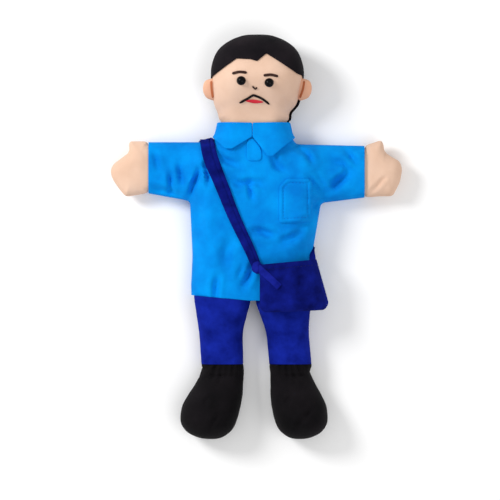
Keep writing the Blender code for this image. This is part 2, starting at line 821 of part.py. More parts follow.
def make_neck_tab(forms, material):
    left_leaf, right_leaf = collar_leaf(-1), collar_leaf(1)
    left_x = COLLAR_MEET_X - TAB_WIDTH / 2 + TAB_SHIFT
    right_x = left_x + TAB_WIDTH
    clear = 2 * GAP
    corner_x, corner_y = TAB_CORNER
    foot = TAB_FOOT_Y + corner_y
    outline = [
        (left_x, line_y(left_leaf["tip_in"], left_leaf["meet"], left_x) - clear),
        (left_x, foot),
        (left_x + corner_x, TAB_FOOT_Y),
        (right_x - corner_x, TAB_FOOT_Y),
        (right_x, foot),
        (right_x, line_y(right_leaf["tip_in"], right_leaf["meet"], right_x) - clear),
        (COLLAR_MEET_X, COLLAR_MEET_Y - 2 * clear),
    ]
    cutter = pattern("neck_tab_region", outline, SEAM_Z, HIGH_Z)
    combine(add_piece("neck_tab", forms["shirt"].layer(*TRIM_LAYER), material), "INTERSECT", cutter)


def make_pocket(forms, material):
    left, right = POCKET_X - POCKET_WIDTH / 2, POCKET_X + POCKET_WIDTH / 2
    top, low = POCKET_TOP_Y, POCKET_TOP_Y - POCKET_HEIGHT
    corner_x, corner_y = POCKET_CORNER
    outline = [
        (left, low),
        (right, low + POCKET_FOOT_SLOPE),
        (right, top - corner_y),
        (right - corner_x, top - POCKET_TOP_SLOPE),
        (left + POCKET_CUT, top),
        (left, top - POCKET_CUT),
    ]
    cutter = pattern("pocket_region", outline, SEAM_Z, HIGH_Z)
    pocket = add_piece("chest_pocket", forms["shirt"].layer(*TRIM_LAYER), material)
    join_flat_faces(combine(pocket, "INTERSECT", cutter))


def neck_middle_z():
    return (BACK_Z + CLOTH + NECK_EASE + SEAM_Z + NECK_FRONT) / 2


def finger_tube(radius, start_y, end_y):
    """Round bar along the neck's middle line."""
    shape = bmesh.new()
    bmesh.ops.create_cone(shape, cap_ends=True, segments=20, radius1=radius, radius2=radius, depth=end_y - start_y)
    turn = Vector((0.0, 0.0, 1.0)).rotation_difference(Vector((0.0, 1.0, 0.0))).to_matrix()
    bmesh.ops.rotate(shape, matrix=turn, verts=shape.verts)
    bmesh.ops.translate(shape, vec=(NECK_X, (start_y + end_y) / 2, neck_middle_z()), verts=shape.verts)
    return shape


def make_head(forms, skin, hair):
    body = cut_flat(forms["head"].build(), (0.0, NECK_FOOT_Y, 0.0), (0.0, -1.0, 0.0))
    head = add_piece("head", body, skin)
    outer = SLEEVE_BORE / 2 + TRIM_CLOTH
    end_y = NECK_FOOT_Y + FINGER_DEPTH
    bore = add_cutter("finger_bore", finger_tube(outer + GAP, NECK_FOOT_Y - SEWN_OFF, end_y + 2 * GAP))
    join_flat_faces(combine(head, "DIFFERENCE", bore))

    tube = finger_tube(outer, NECK_FOOT_Y, end_y)
    mouth = [face for face in tube.faces if face.calc_center_median().y < NECK_FOOT_Y + GAP]
    bmesh.ops.delete(tube, geom=mouth, context="FACES")
    sleeve = add_piece("finger_sleeve", tube, skin)
    wall = sleeve.modifiers.new("cloth", "SOLIDIFY")
    wall.thickness = TRIM_CLOTH
    wall.offset = -1.0

    bowl = forms["head"].build(GAP)
    upper = [vert for vert in bowl.verts if vert.co.z > head_seam(vert.co.x, vert.co.y) + 2 * GAP]
    bmesh.ops.delete(bowl, geom=upper, context="VERTS")
    geometry = bowl.verts[:] + bowl.edges[:] + bowl.faces[:]
    bmesh.ops.bisect_plane(
        bowl, geom=geometry, dist=1e-7, plane_co=(0.0, COLLAR_TOP_Y + 2 * GAP, 0.0), plane_no=(0.0, -1.0, 0.0),
        clear_outer=True,
    )
    back = add_piece("hair_back", bowl, hair)
    wall = back.modifiers.new("cloth", "SOLIDIFY")
    wall.thickness = HAIR_CLOTH
    wall.offset = 1.0
    join_flat_faces(back)

    line = [tuple(place) for place in smooth_path(HAIRLINE, PIECE_STEP / 2)]
    over = CROWN_Y + SEWN_OFF
    outline = line + [(line[-1][0] + SEWN_OFF, line[-1][1]), (line[-1][0] + SEWN_OFF, over)]
    outline += [(line[0][0] - SEWN_OFF, over), (line[0][0] - SEWN_OFF, line[0][1])]
    cutter = pattern("hair_front_region", outline, HEAD_SEAM_Z + GAP, HIGH_Z)
    front = add_piece("hair_front", forms["head"].layer(GAP, GAP + HAIR_CLOTH), hair)
    join_flat_faces(combine(front, "INTERSECT", cutter))


def make_ears(forms, material):
    clear = add_cutter("ear_clearance", forms["head"].build(2 * GAP + HAIR_CLOTH))
    for side, label in SIDES:
        root_x = HEAD_X + side * (HEAD_WIDTH / 2 - EAR_ROOT)
        end_x = HEAD_X + side * (HEAD_WIDTH / 2 + EAR_REACH)
        half = EAR_HEIGHT / 2
        points = [
            (root_x, EAR_Y - half),
            (mix(root_x, end_x, 0.62), EAR_Y - 0.96 * half),
            (mix(root_x, end_x, 0.90), EAR_Y - 0.55 * half),
            (end_x, EAR_Y + 0.05 * half),
            (mix(root_x, end_x, 0.92), EAR_Y + 0.66 * half),
            (mix(root_x, end_x, 0.66), EAR_Y + half),
            (root_x, EAR_Y + half),
        ]
        middle = (mix(root_x, end_x, 0.6), EAR_Y)
        swell = EAR_THICKNESS / 2
        ear = Form(smooth_loop(points, EAR_STEP), middle, 3, ear_seam, swell, swell, EAR_RIM)
        combine(add_piece("ear_" + label, ear.build(), material), "DIFFERENCE", clear)


def make_face(forms, bead, brow, thread, red):
    head = forms["head"]
    clear = add_cutter("eye_clearance", head.build(GAP))
    for side, label in SIDES:
        x = EYE_MIDDLE_X + side * EYE_SPACING / 2
        y = EYE_Y - side * EYE_TILT
        shape = bmesh.new()
        bmesh.ops.create_uvsphere(shape, u_segments=14, v_segments=8, radius=EYE_SIZE / 2)
        bmesh.ops.translate(shape, vec=(x, y, head.height(x, y, 1) + EYE_RISE), verts=shape.verts)
        combine(add_piece("eye_" + label, shape, bead), "DIFFERENCE", clear)

        x = EYE_MIDDLE_X + side * BROW_SPACING / 2
        y = BROW_Y - side * BROW_TILT
        points = (
            (x - side * BROW_LENGTH / 2, y),
            (x, y + BROW_RISE),
            (x + side * BROW_LENGTH / 2, y - BROW_RISE),
        )
        line = stitch(points, BROW_WIDTH, FACE_STEP)
        cutter = pattern("brow_region_" + label, line, HEAD_SEAM_Z, HIGH_Z)
        piece = add_piece("brow_" + label, head.layer(*THREAD_LAYER), brow)
        join_flat_faces(combine(piece, "INTERSECT", cutter), 4.0)

    x = EYE_MIDDLE_X
    points = ((x - NOSE_SIZE, NOSE_Y + NOSE_SIZE), (x, NOSE_Y), (x + 0.7 * NOSE_SIZE, NOSE_Y + 0.6 * NOSE_SIZE))
    cutter = pattern("nose_region", stitch(points, NOSE_WIDTH, NOSE_STEP), HEAD_SEAM_Z, HIGH_Z)
    join_flat_faces(combine(add_piece("nose", head.layer(*THREAD_LAYER), brow), "INTERSECT", cutter), 4.0)

    x = EYE_MIDDLE_X - MOUSTACHE_SHIFT
    half = MOUSTACHE_SPAN / 2
    points = (
        (x - half, MOUSTACHE_Y - MOUSTACHE_DROP),
        (x - 0.45 * half, MOUSTACHE_Y - 0.36 * MOUSTACHE_DROP),
        (x, MOUSTACHE_Y),
        (x + 0.50 * half, MOUSTACHE_Y - 0.40 * MOUSTACHE_DROP),
        (x + half, MOUSTACHE_Y - MOUSTACHE_DROP - MOUSTACHE_TILT),
    )
    cutter = pattern("moustache_region", stitch(points, MOUSTACHE_WIDTH, MOUSTACHE_STEP), HEAD_SEAM_Z, HIGH_Z)
    join_flat_faces(combine(add_piece("moustache", head.layer(*THREAD_LAYER), thread), "INTERSECT", cutter), 2.0)

    half = MOUTH_WIDTH / 2
    points = (
        (x - half, MOUTH_Y + MOUTH_TILT),
        (x, MOUTH_Y - MOUTH_HEIGHT / 2),
        (x + half, MOUTH_Y - MOUTH_TILT),
        (x, MOUTH_Y + MOUTH_HEIGHT / 2),
    )
    cutter = pattern("mouth_region", smooth_loop(points, FACE_STEP), HEAD_SEAM_Z, HIGH_Z)
    join_flat_faces(combine(add_piece("mouth", head.layer(*THREAD_LAYER), red), "INTERSECT", cutter), 2.0)


def make_hands(forms, material):
    for side, label in SIDES:
        wrist = side * (SLEEVE_SPAN / 2 - WRIST_TUCK)
        past = side * (SLEEVE_SPAN / 2 + HAND_LENGTH + SEWN_OFF)
        low, high = sorted((wrist, past))
        region = block("hand_region_" + label, (low, 0.0, LOW_Z), (high, CROWN_Y, HIGH_Z))
        hand = add_piece("hand_" + label, forms["hand_" + label].layer(-CLOTH, 0.0), material)
        join_flat_faces(combine(hand, "INTERSECT", region))


def make_legs_and_shoes(forms, velour, cotton):
    for side, label in SIDES:
        leg = cut_flat(forms["leg_" + label].build(), (0.0, HEM_Y - GAP, 0.0), (0.0, 1.0, 0.0))
        cut_flat(leg, (0.0, ANKLE_Y, 0.0), (0.0, -1.0, 0.0))
        join_flat_faces(add_piece("trouser_leg_" + label, leg, velour))
        shoe = cut_flat(forms["shoe_" + label].build(), (0.0, ANKLE_Y - GAP, 0.0), (0.0, 1.0, 0.0))
        join_flat_faces(add_piece("shoe_" + label, shoe, cotton))


def join_flat_faces(piece, degrees=1.0):
    """Faces that lie in one plane become one face."""
    modifier = piece.modifiers.new("flat faces", "DECIMATE")
    modifier.decimate_type = "DISSOLVE"
    modifier.angle_limit = math.radians(degrees)
    return piece


def make_bag(forms, material):
    top_left = (BAG_LEFT_X, BAG_TOP_Y - BAG_TOP_SLANT)
    top_right = (BAG_LEFT_X + BAG_WIDTH - BAG_SPREAD, BAG_TOP_Y)
    left, right = BAG_LEFT_X - SEWN_OFF, BAG_LEFT_X + BAG_WIDTH + SEWN_OFF
    low = BAG_TOP_Y - BAG_HEIGHT - SEWN_OFF
    outline = [
        (left, low),
        (right, low),
        (right, line_y(top_left, top_right, right)),
        (left, line_y(top_left, top_right, left)),
    ]
    region = pattern("bag_region", outline, LOW_Z, HIGH_Z)
    bag = add_piece("bag", forms["bag"].layer(-CLOTH, 0.0), material)
    join_flat_faces(combine(bag, "INTERSECT", region))


def make_strap(forms, material):
    front = band(STRAP_FRONT, STRAP_WIDTH, STRAP_END_WIDTH, PIECE_STEP)
    back = band(STRAP_BACK, STRAP_WIDTH, STRAP_WIDTH, PIECE_STEP * 2)
    region = pattern("strap_front_region", front, STRAP_TURN_Z, HIGH_Z)
    combine(region, "UNION", pattern("strap_back_region", back, LOW_Z, STRAP_RISE_Z))
    strap = add_piece("bag_strap", forms["shirt"].layer(*STRAP_LAYER), material)
    join_flat_faces(combine(strap, "INTERSECT", region))

    knot_x, knot_y = STRAP_FRONT[-1]
    knot_z = forms["shirt"].height(knot_x, knot_y, 1) + STRAP_LAYER[1] + KNOT_SIZE[2] * 0.32
    shape = bmesh.new()
    bmesh.ops.create_uvsphere(shape, u_segments=10, v_segments=6, radius=0.5)
    bmesh.ops.scale(shape, vec=KNOT_SIZE, verts=shape.verts)
    bmesh.ops.translate(shape, vec=(knot_x, knot_y, knot_z), verts=shape.verts)
    bmesh.ops.rotate(shape, cent=(knot_x, knot_y, knot_z), matrix=Matrix.Rotation(0.4, 3, "Z"), verts=shape.verts)
    combine(strap, "UNION", add_cutter("knot", shape))
    combine(strap, "DIFFERENCE", add_cutter("bag_clearance", forms["bag"].build(GAP + TRIM_CLOTH / 2)))

    outline = band(STRAP_TAIL, TAIL_WIDTH, TAIL_WIDTH, PIECE_STEP)
    tail = add_cutter("strap_tail", forms["bag"].layer(*TRIM_LAYER))
    combine(tail, "INTERSECT", pattern("strap_tail_region", outline, SEAM_Z + CHEST_FRONT, HIGH_Z))
    combine(strap, "UNION", tail)


clear_scene()
puppet = new_collection("puppet")
cutters = new_collection("cutters")

shirt_blue = cloth("shirt_cotton", (0.004, 0.270, 0.780), 0.85)
skin_cotton = cloth("skin_cotton", (0.807, 0.578, 0.440), 0.80)
hair_cotton = cloth("hair_cotton", (0.014, 0.011, 0.012), 0.75)
ear_cotton = cloth("ear_cotton", (0.840, 0.456, 0.314), 0.80)
eye_bead = cloth("eye_bead", (0.004, 0.004, 0.004), 0.12)
brow_thread = cloth("brow_thread", (0.035, 0.015, 0.010), 0.60)
black_thread = cloth("black_thread", (0.006, 0.005, 0.005), 0.60)
mouth_cloth = cloth("mouth_cloth", (0.560, 0.040, 0.060), 0.70)
trouser_velour = cloth("trouser_velour", (0.006, 0.016, 0.270), 0.90)
bag_velour = cloth("bag_velour", (0.003, 0.008, 0.130), 0.90)
shoe_cotton = cloth("shoe_cotton", (0.008, 0.007, 0.008), 0.80)

shapes = make_forms()
make_shirt(shapes, shirt_blue)
make_collar(shapes, shirt_blue)
make_neck_tab(shapes, shirt_blue)
make_pocket(shapes, shirt_blue)
make_head(shapes, skin_cotton, hair_cotton)
make_ears(shapes, ear_cotton)
make_face(shapes, eye_bead, brow_thread, black_thread, mouth_cloth)
make_hands(shapes, skin_cotton)
make_legs_and_shoes(shapes, trouser_velour, shoe_cotton)
make_bag(shapes, bag_velour)
make_strap(shapes, bag_velour)
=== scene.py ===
import math

import bmesh
import bpy
import numpy as np
from mathutils import Matrix, Vector, noise
from mathutils.geometry import delaunay_2d_cdt


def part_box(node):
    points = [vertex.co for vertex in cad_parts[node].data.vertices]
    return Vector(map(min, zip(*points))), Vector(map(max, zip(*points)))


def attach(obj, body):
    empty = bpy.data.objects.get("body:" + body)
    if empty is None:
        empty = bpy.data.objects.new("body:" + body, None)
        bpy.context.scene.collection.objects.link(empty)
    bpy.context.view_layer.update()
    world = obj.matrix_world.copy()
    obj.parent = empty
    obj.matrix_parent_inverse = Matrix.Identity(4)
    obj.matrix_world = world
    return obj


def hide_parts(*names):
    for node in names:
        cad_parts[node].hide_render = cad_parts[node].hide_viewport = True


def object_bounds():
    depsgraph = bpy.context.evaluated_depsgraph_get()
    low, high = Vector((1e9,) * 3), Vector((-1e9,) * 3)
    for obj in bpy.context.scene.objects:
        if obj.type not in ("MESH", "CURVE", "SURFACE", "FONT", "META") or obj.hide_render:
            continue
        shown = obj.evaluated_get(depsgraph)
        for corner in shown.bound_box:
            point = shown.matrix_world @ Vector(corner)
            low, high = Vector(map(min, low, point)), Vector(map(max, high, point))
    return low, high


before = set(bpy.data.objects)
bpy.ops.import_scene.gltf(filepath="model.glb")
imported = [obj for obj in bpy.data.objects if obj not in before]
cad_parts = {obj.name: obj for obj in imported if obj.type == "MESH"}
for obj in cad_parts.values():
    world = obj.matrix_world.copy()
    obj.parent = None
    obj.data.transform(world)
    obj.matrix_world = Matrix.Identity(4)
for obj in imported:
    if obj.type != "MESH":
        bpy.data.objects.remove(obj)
cad_low, cad_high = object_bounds()

# Cloths and clearances, in metres
GAP = 0.0003
CLOTH = 0.0012
HAIR_CLOTH = 0.0013
COLLAR_CLOTH = 0.0013
TRIM_CLOTH = 0.0010
THREAD = 0.0008
STRAP_CLOTH = 0.0020
EASE = 0.0013
STITCH_LENGTH = 0.0024
STITCH_GAP = 0.0009
STITCH_THICKNESS = 0.00045
STITCH_ARCH = (-0.6, 0.35, 0.6, 0.35, -0.6)
THREAD_SIDES = 5

# Shirt
HEM_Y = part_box("shirt_front")[0].y
WAIST_Y = -0.018
ARMPIT_Y = 0.0345
SHOULDER_Y = 0.0907
NECK_EDGE_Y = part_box("shirt_front")[1].y
COLLAR_TOP_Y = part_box("collar_band")[1].y
HEM_WIDTH = 0.1112
WAIST_WIDTH = 0.1120
ARMPIT_WIDTH = 0.1252
SHOULDER_WIDTH = 0.0800
NECK_FLARE = 0.0030
SLEEVE_SPAN = 0.2060
CUFF_WIDTH = 0.0490
SLEEVE_DROP = 0.0040
BODY_X = -0.0010
BODY_LEAN = 0.0034
SEAM_Z = 0.0150
CHEST_FRONT = 0.0250
HEM_FRONT = 0.0205
SLEEVE_FRONT = 0.0125
BODY_RIM = 0.0240
SLEEVE_RIM = 0.0130
BACK_Z = STRAP_CLOTH + GAP
SEWN_OFF = 0.0200
LEFT_FULLNESS = 0.0018
HEM_LOW_X = -0.0060
HEM_SLOPE = 0.0920
HEM_BLEND = 0.0300

# Head and neck
HEAD_X = 0.0008
HEAD_WIDTH = 0.0858
CROWN_Y = 0.1914
JAW_X = -0.0012
JAW_Y = 0.1270
CHEEK_Y = 0.1560
HEAD_SEAM_Z = 0.0310
HEAD_FRONT = 0.0300
HEAD_RIM = 0.0340
NECK_X = -0.0026
NECK_WIDTH = 0.0610
NECK_FRONT = 0.0203
NECK_RIM = 0.0150
THROAT_X = -0.0024
THROAT_WIDTH = 0.0664
THROAT_Y = 0.1125
CHIN_X = -0.0028
CHIN_WIDTH = 0.0690
CHIN_Y = 0.1190
NECK_FOOT_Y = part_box("head")[0].y
HEAD_FLOOR = GAP + HAIR_CLOTH
STUB_HALF = NECK_WIDTH / 2 + CLOTH + EASE
SKULL_LEVELS = ((0.00, 0.917), (0.20, 0.968), (0.40, 1.000), (0.52, 0.992), (0.62, 0.957), (0.73, 0.890),
                (0.82, 0.782), (0.90, 0.615), (0.955, 0.430), (0.990, 0.210))
HAIRLINE = ((-0.0480, 0.1471), (-0.0186, 0.1674), (-0.0060, 0.1667), (0.0004, 0.1649), (0.0091, 0.1721),
            (0.0379, 0.1540), (0.0500, 0.1505))

# Hair behind: the insets of its rings, where it is tucked away below the left ear, and where it shows
# beside the neck on the right
HAIR_RINGS = (0.0002, 0.0008, 0.0018, 0.0034, 0.0058)
TUCK_X = -0.0200
TUCK_Y = 0.1310
TUCK_DEPTH = 0.0018
STRAY_X = (0.0260, 0.0320)
STRAY_Y = (0.1360, 0.1300)
STRAY_REACH = 0.0012

# Ears and face
EAR_Y = 0.1403
EAR_HEIGHT = 0.0180
EAR_REACH = 0.0088
EAR_THICKNESS = 0.0066
EAR_SHAPE = ((0.0, -1.0), (0.62, -0.96), (0.90, -0.55), (1.0, 0.05), (0.92, 0.66), (0.66, 1.0), (0.0, 1.0))
EAR_CREASE_X = ((-0.0430, -0.0427, -0.0416), (0.0452, 0.0440, 0.0414))
EAR_CREASE_Y = (0.84, 0.0, -0.86)
EAR_STEP = 0.0010
EAR_ROOT = 0.0040
EAR_RIM = 0.0050
EAR_CREASE_WIDTH = 0.0019
EYE_STAND = 0.0004
EYE_FOOT = 0.0002
EYE_TILT = 0.0009
EYE_SIZE = 0.0088
EYE_Y = 0.1460
EYE_SPACING = 0.0263
FACE_X = -0.0013
BROW_Y = 0.1530
BROW_SPACING = 0.0293
BROW_LENGTH = 0.0136
BROW_RISE = 0.0007
BROW_WIDTH = 0.0024
BROW_TILT = 0.0013
NOSE_Y = 0.1396
NOSE_SIZE = 0.0026
NOSE_WIDTH = 0.0015
MOUSTACHE_Y = 0.1339
MOUSTACHE_SPAN = 0.0284
MOUSTACHE_DROP = 0.0070
MOUSTACHE_WIDTH = 0.0021
# Places of the moustache: how far out, how far down, and a droop in metres
MOUSTACHE = ((-1.0, 1.0, 0.0), (-0.50, 0.47, 0.0), (-0.10, 0.0, 0.0), (-0.02, 0.0, 0.0), (0.50, 0.43, 0.0),
             (1.0, 1.0, 0.0012))
MOUTH_Y = 0.1284
MOUTH_WIDTH = 0.0172
MOUTH_HEIGHT = 0.0032
MOUTH_TILT = 0.0006
LIP_SHIFT = -0.0007
FACE_STEP = 0.0007
THREAD_STEP = 0.0008

# Collar, neck tab and chest pocket
COLLAR_TIPS = (((-0.0290, 0.0828), (-0.0232, 0.0828)), ((0.0152, 0.0760), (0.0104, 0.0762)))
COLLAR_MEET = (-0.0040, 0.0950)
LEAF_RISE = 0.0026
LEAF_GAP = 0.0001
LEAF_LIFT = 0.0006
LEAF_TURN = (0.0060, -0.0120)
LEAF_EDGE = (0.0012, 0.0030)
LEAF_STEP = 0.0012
TAB_WIDTH = 0.0142
TAB_FOOT_Y = 0.0720
TAB_SHIFT = 0.0016
TAB_CORNER = 0.0048
POCKET_X = 0.0368
POCKET_WIDTH = 0.0310
POCKET_TOP_Y = 0.0556
POCKET_HEIGHT = 0.0425
POCKET_CUT = 0.0075
POCKET_SEAM = 0.0042
POCKET_CORNER = 0.0022
POCKET_STEP = 0.0008
# The pocket's turned-in edge: where its roll and its stitched groove lie, how wide and how high
POCKET_ROLL = (0.0024, 0.0014, 0.0005)
POCKET_GROOVE = (POCKET_SEAM, 0.0009, -0.0007)

# Hands
HAND_LENGTH = 0.0368
HAND_WIDTH = 0.0505
HAND_FRONT = 0.0101
HAND_RIM = 0.0110
HAND_CORNER = 0.0035
WRIST_TUCK = 0.0060
HAND_SHAPE = (
    ((0.05, 1.00), (0.51, 1.01), (0.53, 0.80), (0.75, 0.67), (0.94, 0.56), (1.00, 0.44),
     (0.95, 0.29), (0.78, 0.11), (0.60, -0.05), (0.40, -0.03), (0.05, 0.02)),
    ((0.05, 1.01), (0.22, 1.05), (0.43, 1.11), (0.50, 1.04), (0.56, 0.89), (0.74, 0.79), (0.94, 0.70),
     (1.00, 0.55), (0.93, 0.30), (0.74, 0.04), (0.40, 0.04), (0.05, 0.02)),
)
HAND_CREASE = (((0.1070, 0.0410), (0.1140, 0.0475), (0.1190, 0.0535), (0.1250, 0.0575)), 0.0040, 0.0022)

# Trouser legs and shoes: the middle and width at the hem, knee and ankle, left then right
KNEE_Y = -0.0900
ANKLE_Y = -0.1212
LEG_TOP = ((-0.0326, 0.0546), (0.0252, 0.0538))
LEG_KNEE = ((-0.0340, 0.0432), (0.0295, 0.0424))
LEG_ANKLE = ((-0.0326, 0.0398), (0.0326, 0.0402))
LEG_TOP_BACK = 0.0100
LEG_FRONT = 0.0135
LEG_RIM = 0.0130
LEG_GAP = 0.00005
SHOE_LENGTH = 0.0712
SHOE_WIDTH = (0.0540, 0.0506)
SHOE_SPLAY = (-0.0132, 0.0100)
SHOE_HEIGHT = 0.0450
SHOE_SEAM_Z = 0.0190
SHOE_RIM = 0.0240
SHOE_BACK = 0.0500
SHOE_GATHERS = (-0.78, -0.50, -0.22, 0.04, 0.28, 0.54, 0.80)
SHOE_LUMPS = ((0.10, 0.70, 0.012), (0.42, 0.62, 0.010), (-0.30, 0.45, 0.008))
SHOE_LEVELS = ((0.10, 0.74, -0.02), (0.27, 0.80, 0.20), (0.42, 0.92, 0.50), (0.57, 1.00, 0.80),
               (0.76, 0.98, 1.00), (0.87, 0.86, 1.00), (0.95, 0.62, 0.95), (1.00, 0.25, 0.80))

# Bag and strap
BAG_LEFT_X = 0.0030
BAG_WIDTH = 0.0660
BAG_TOP_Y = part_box("bag")[1].y
BAG_TOP_SLANT = 0.0048
BAG_HEIGHT = 0.0500
BAG_SPREAD = 0.0135
BAG_THICKNESS = 0.0116
BAG_RIM = 0.0080
BAG_CORNER = 0.0030
BAG_DROP_X = 0.0320
BAG_DROP = 0.0235
BAG_HEM = 0.0050
STRAP_FRONT = ((-0.0482, 0.0985), (-0.0463, 0.0884), (-0.0438, 0.0770), (-0.0398, 0.0655), (-0.0352, 0.0541),
               (-0.0306, 0.0427), (-0.0262, 0.0313), (-0.0215, 0.0199), (-0.0163, 0.0085), (-0.0108, -0.0029),
               (-0.0054, -0.0143), (0.0006, -0.0290))
STRAP_BACK = ((-0.0482, 0.0985), (-0.0463, 0.0884), (-0.0110, 0.0450), (0.0260, 0.0080), (0.0640, -0.0290))
STRAP_WIDTH = 0.0146
STRAP_END_WIDTH = 0.0092
KNOT_SIZE = (0.0104, 0.0112, 0.0100)
STRAP_TAIL = ((0.0002, -0.0275), (0.0080, -0.0345), (0.0216, -0.0474))
TAIL_WIDTH = 0.0064
STRAP_LIFT = 0.0008
SIDE_BAND = ((0.0530, -0.0045, 0.0090), (0.0534, -0.0228, 0.0290))
SIDE_BAND_WIDTH = (0.0026, 0.0066)
SIDE_BAND_BOW = 0.0030
KNOT_RISE = 0.32
STRAP_ROWS = 90
# Places across the strap, from -1 to 1, and how thick the cloth is there
STRAP_SECTION = ((-1.0, 0.5), (-0.94, 0.85), (-0.75, 1.05), (-0.4, 1.1), (0.0, 1.1), (0.22, 1.05), (0.34, 0.70),
                 (0.44, 0.95), (0.62, 1.0), (0.85, 0.95), (0.96, 0.8), (1.0, 0.5))

# Mesh steps and the photograph's view
CLOTH_STEP = 0.0022
TRIM_STEP = 0.0012
SMALL_STEP = 0.0016
SMOOTH_ANGLE = math.radians(60.0)
STRAP_STEP = 0.0010
OUTLINE_STEP = 0.0020
FINE_OUTLINE = 0.0014
SETTLE_SCALE = 15.0
SETTLE_FRAMES = 20
HAND_SETTLE = 0.0012
HAND_HELD = 0.0030
SEAM_HELD = 0.0020
ANKLE_HELD = 0.0010
STUFFED_SETTLE = 0.0020
CLOTH_SETTINGS = (("quality", 5), ("mass", 0.25), ("tension_stiffness", 12.0), ("compression_stiffness", 12.0),
                  ("shear_stiffness", 6.0), ("bending_stiffness", 0.6), ("use_pressure", True),
                  ("uniform_pressure_force", 4.0), ("vertex_group_mass", "held"))
VIEW_WIDTH = 0.4750
VIEW_CENTRE = (-0.0062, -0.01235)
VIEW_LENS = 200.0
SENSOR = 36.0
SIDES = ((-1, "left"), (1, "right"))
UP = (0.0, 1.0, 0.0)
DOWN = (0.0, -1.0, 0.0)

# Cloths: light and dark colour, roughness, sheen and its tint, and the weave's pitch, which velour has not
WHITE = (255, 255, 255)
WEAVE_BUMP = 0.0001
NAP_BUMP = 0.0003
CLOTHS = {
    # The shirt's light and dark ends lie wide apart. Part of this is the cotton's own uneven tone. Part is painted
    # shade that stands in for the soft shading of its folds, scattered by noise
    "shirt_cotton": ((0, 150, 236), (0, 119, 208), 0.9, 0.01, (120, 200, 255), 0.00045),
    "shirt_thread": ((2, 118, 205), (1, 96, 184), 0.7, 0.1, WHITE, 0.0003),
    "skin_cotton": ((232, 198, 175), (223, 186, 161), 0.85, 0.02, WHITE, 0.0004),
    "ear_cotton": ((235, 183, 153), (224, 167, 136), 0.85, 0.02, WHITE, 0.0004),
    "crease_thread": ((196, 116, 78), (170, 92, 58), 0.7, 0.0, WHITE, 0.0003),
    "hair_cotton": ((32, 27, 31), (17, 15, 19), 0.9, 0.02, WHITE, 0.00045),
    "brow_thread": ((66, 44, 38), (40, 24, 20), 0.6, 0.1, WHITE, 0.0003),
    "black_thread": ((30, 24, 24), (14, 11, 11), 0.6, 0.1, WHITE, 0.0003),
    "mouth_cloth": ((222, 66, 78), (198, 26, 46), 0.7, 0.02, WHITE, 0.0003),
    "trouser_velour": ((19, 38, 154), (6, 20, 110), 0.95, 0.08, (60, 90, 230), None),
    "bag_velour": ((14, 27, 128), (2, 8, 76), 0.95, 0.08, (60, 80, 220), None),
    # bag_velour_lit is painted light: the bag's own velour, made lighter for the knot and the tail as if they caught
    # more light
    "bag_velour_lit": ((25, 37, 150), (9, 18, 106), 0.95, 0.10, (60, 80, 220), None),
    "bag_thread": ((6, 14, 78), (3, 9, 58), 0.7, 0.1, WHITE, 0.0003),
    "shoe_cotton": ((22, 19, 22), (11, 10, 12), 0.9, 0.02, WHITE, 0.0005),
}

# Lights: name, place, size and power
LIGHTS = (("key_light", (-0.98, 0.58, 0.95), 0.50, 13.0), ("fill_light", (0.60, -0.45, 1.35), 1.20, 6.0))
LIGHT_AIM = (0.0, 0.0, 0.03)
WORLD_LIGHT = 0.60

# Creases of the shirt's front, in tenths of a millimetre: a path, its width and its depth
FOLD_STAND = 0.0010
TENTHS = 10000
SHIRT_FOLDS = (
    (((-641, 347), (-613, 456), (-561, 580), (-513, 684)), 64, 88),
    (((-1012, 456), (-860, 437), (-698, 389)), 67, 53),
    (((-817, 617), (-822, 503), (-812, 399)), 50, 61),
    (((-732, 703), (-727, 599), (-698, 494)), 57, 49),
    (((-974, 808), (-950, 712), (-936, 636)), 47, 28),
    (((-480, 732), (-466, 617), (-456, 503)), 54, 81),
    (((-413, 827), (-309, 732), (-157, 674)), 62, 49),
    (((-252, 561), (-176, 503), (-52, 522), (71, 503)), 57, 42),
    (((-71, 532), (-62, 447), (-33, 352)), 52, 56),
    (((-52, 47), (33, 57), (166, 9)), 62, 49),
    (((385, 846), (470, 798), (537, 703)), 54, 61),
    (((494, 580), (556, 503), (646, 389)), 54, 74),
    (((556, 599), (613, 522), (679, 418)), 50, 56),
    (((708, 466), (784, 532), (898, 617)), 86, 81),
    (((830, 856), (890, 780), (962, 680)), 59, 39),
    (((698, 732), (822, 693), (907, 617)), 62, 36),
    (((527, 276), (575, 323), (622, 361)), 52, 61),
    (((299, 104), (404, 104), (527, 162)), 74, 49),
    (((214, -57), (337, -9), (489, 86)), 74, 56),
    (((-33, -238), (-71, -352), (-128, -485)), 62, 81),
    (((-100, -238), (-147, -333), (-166, -447)), 62, 42),
    (((-375, -370), (-389, -503), (-394, -636)), 57, 49),
    (((-603, 304), (-556, 199), (-537, 66)), 99, 36),
    (((-233, -9), (-290, -143), (-290, -295)), 99, 36),
    (((147, 789), (185, 674), (280, 617)), 62, 42),
)


def ease(start, end, value):
    """0 before start, 1 after end, smooth between."""
    share = np.clip((value - start) / (end - start), 0.0, 1.0)
    return share * share * (3.0 - 2.0 * share)


def mix(first, second, share):
    return first + (second - first) * share


def read(setting, places):
    """A setting of a form is a plain size or a rule over the plan."""
    return setting(places[:, 0], places[:, 1]) if callable(setting) else np.full(len(places), setting)


def anticlockwise(points):
    area = sum(a[0] * b[1] - b[0] * a[1] for a, b in zip(points, points[1:] + points[:1]))
    return points if area > 0 else points[::-1]


def curve_point(before, start, end, after, share):
    """A point of the smooth curve from start to end."""
    square = share * share
    cube = square * share
    return 0.5 * (
        2.0 * start
        + (end - before) * share
        + (2.0 * before - 5.0 * start + 4.0 * end - after) * square
        + (3.0 * start - before - 3.0 * end + after) * cube
    )


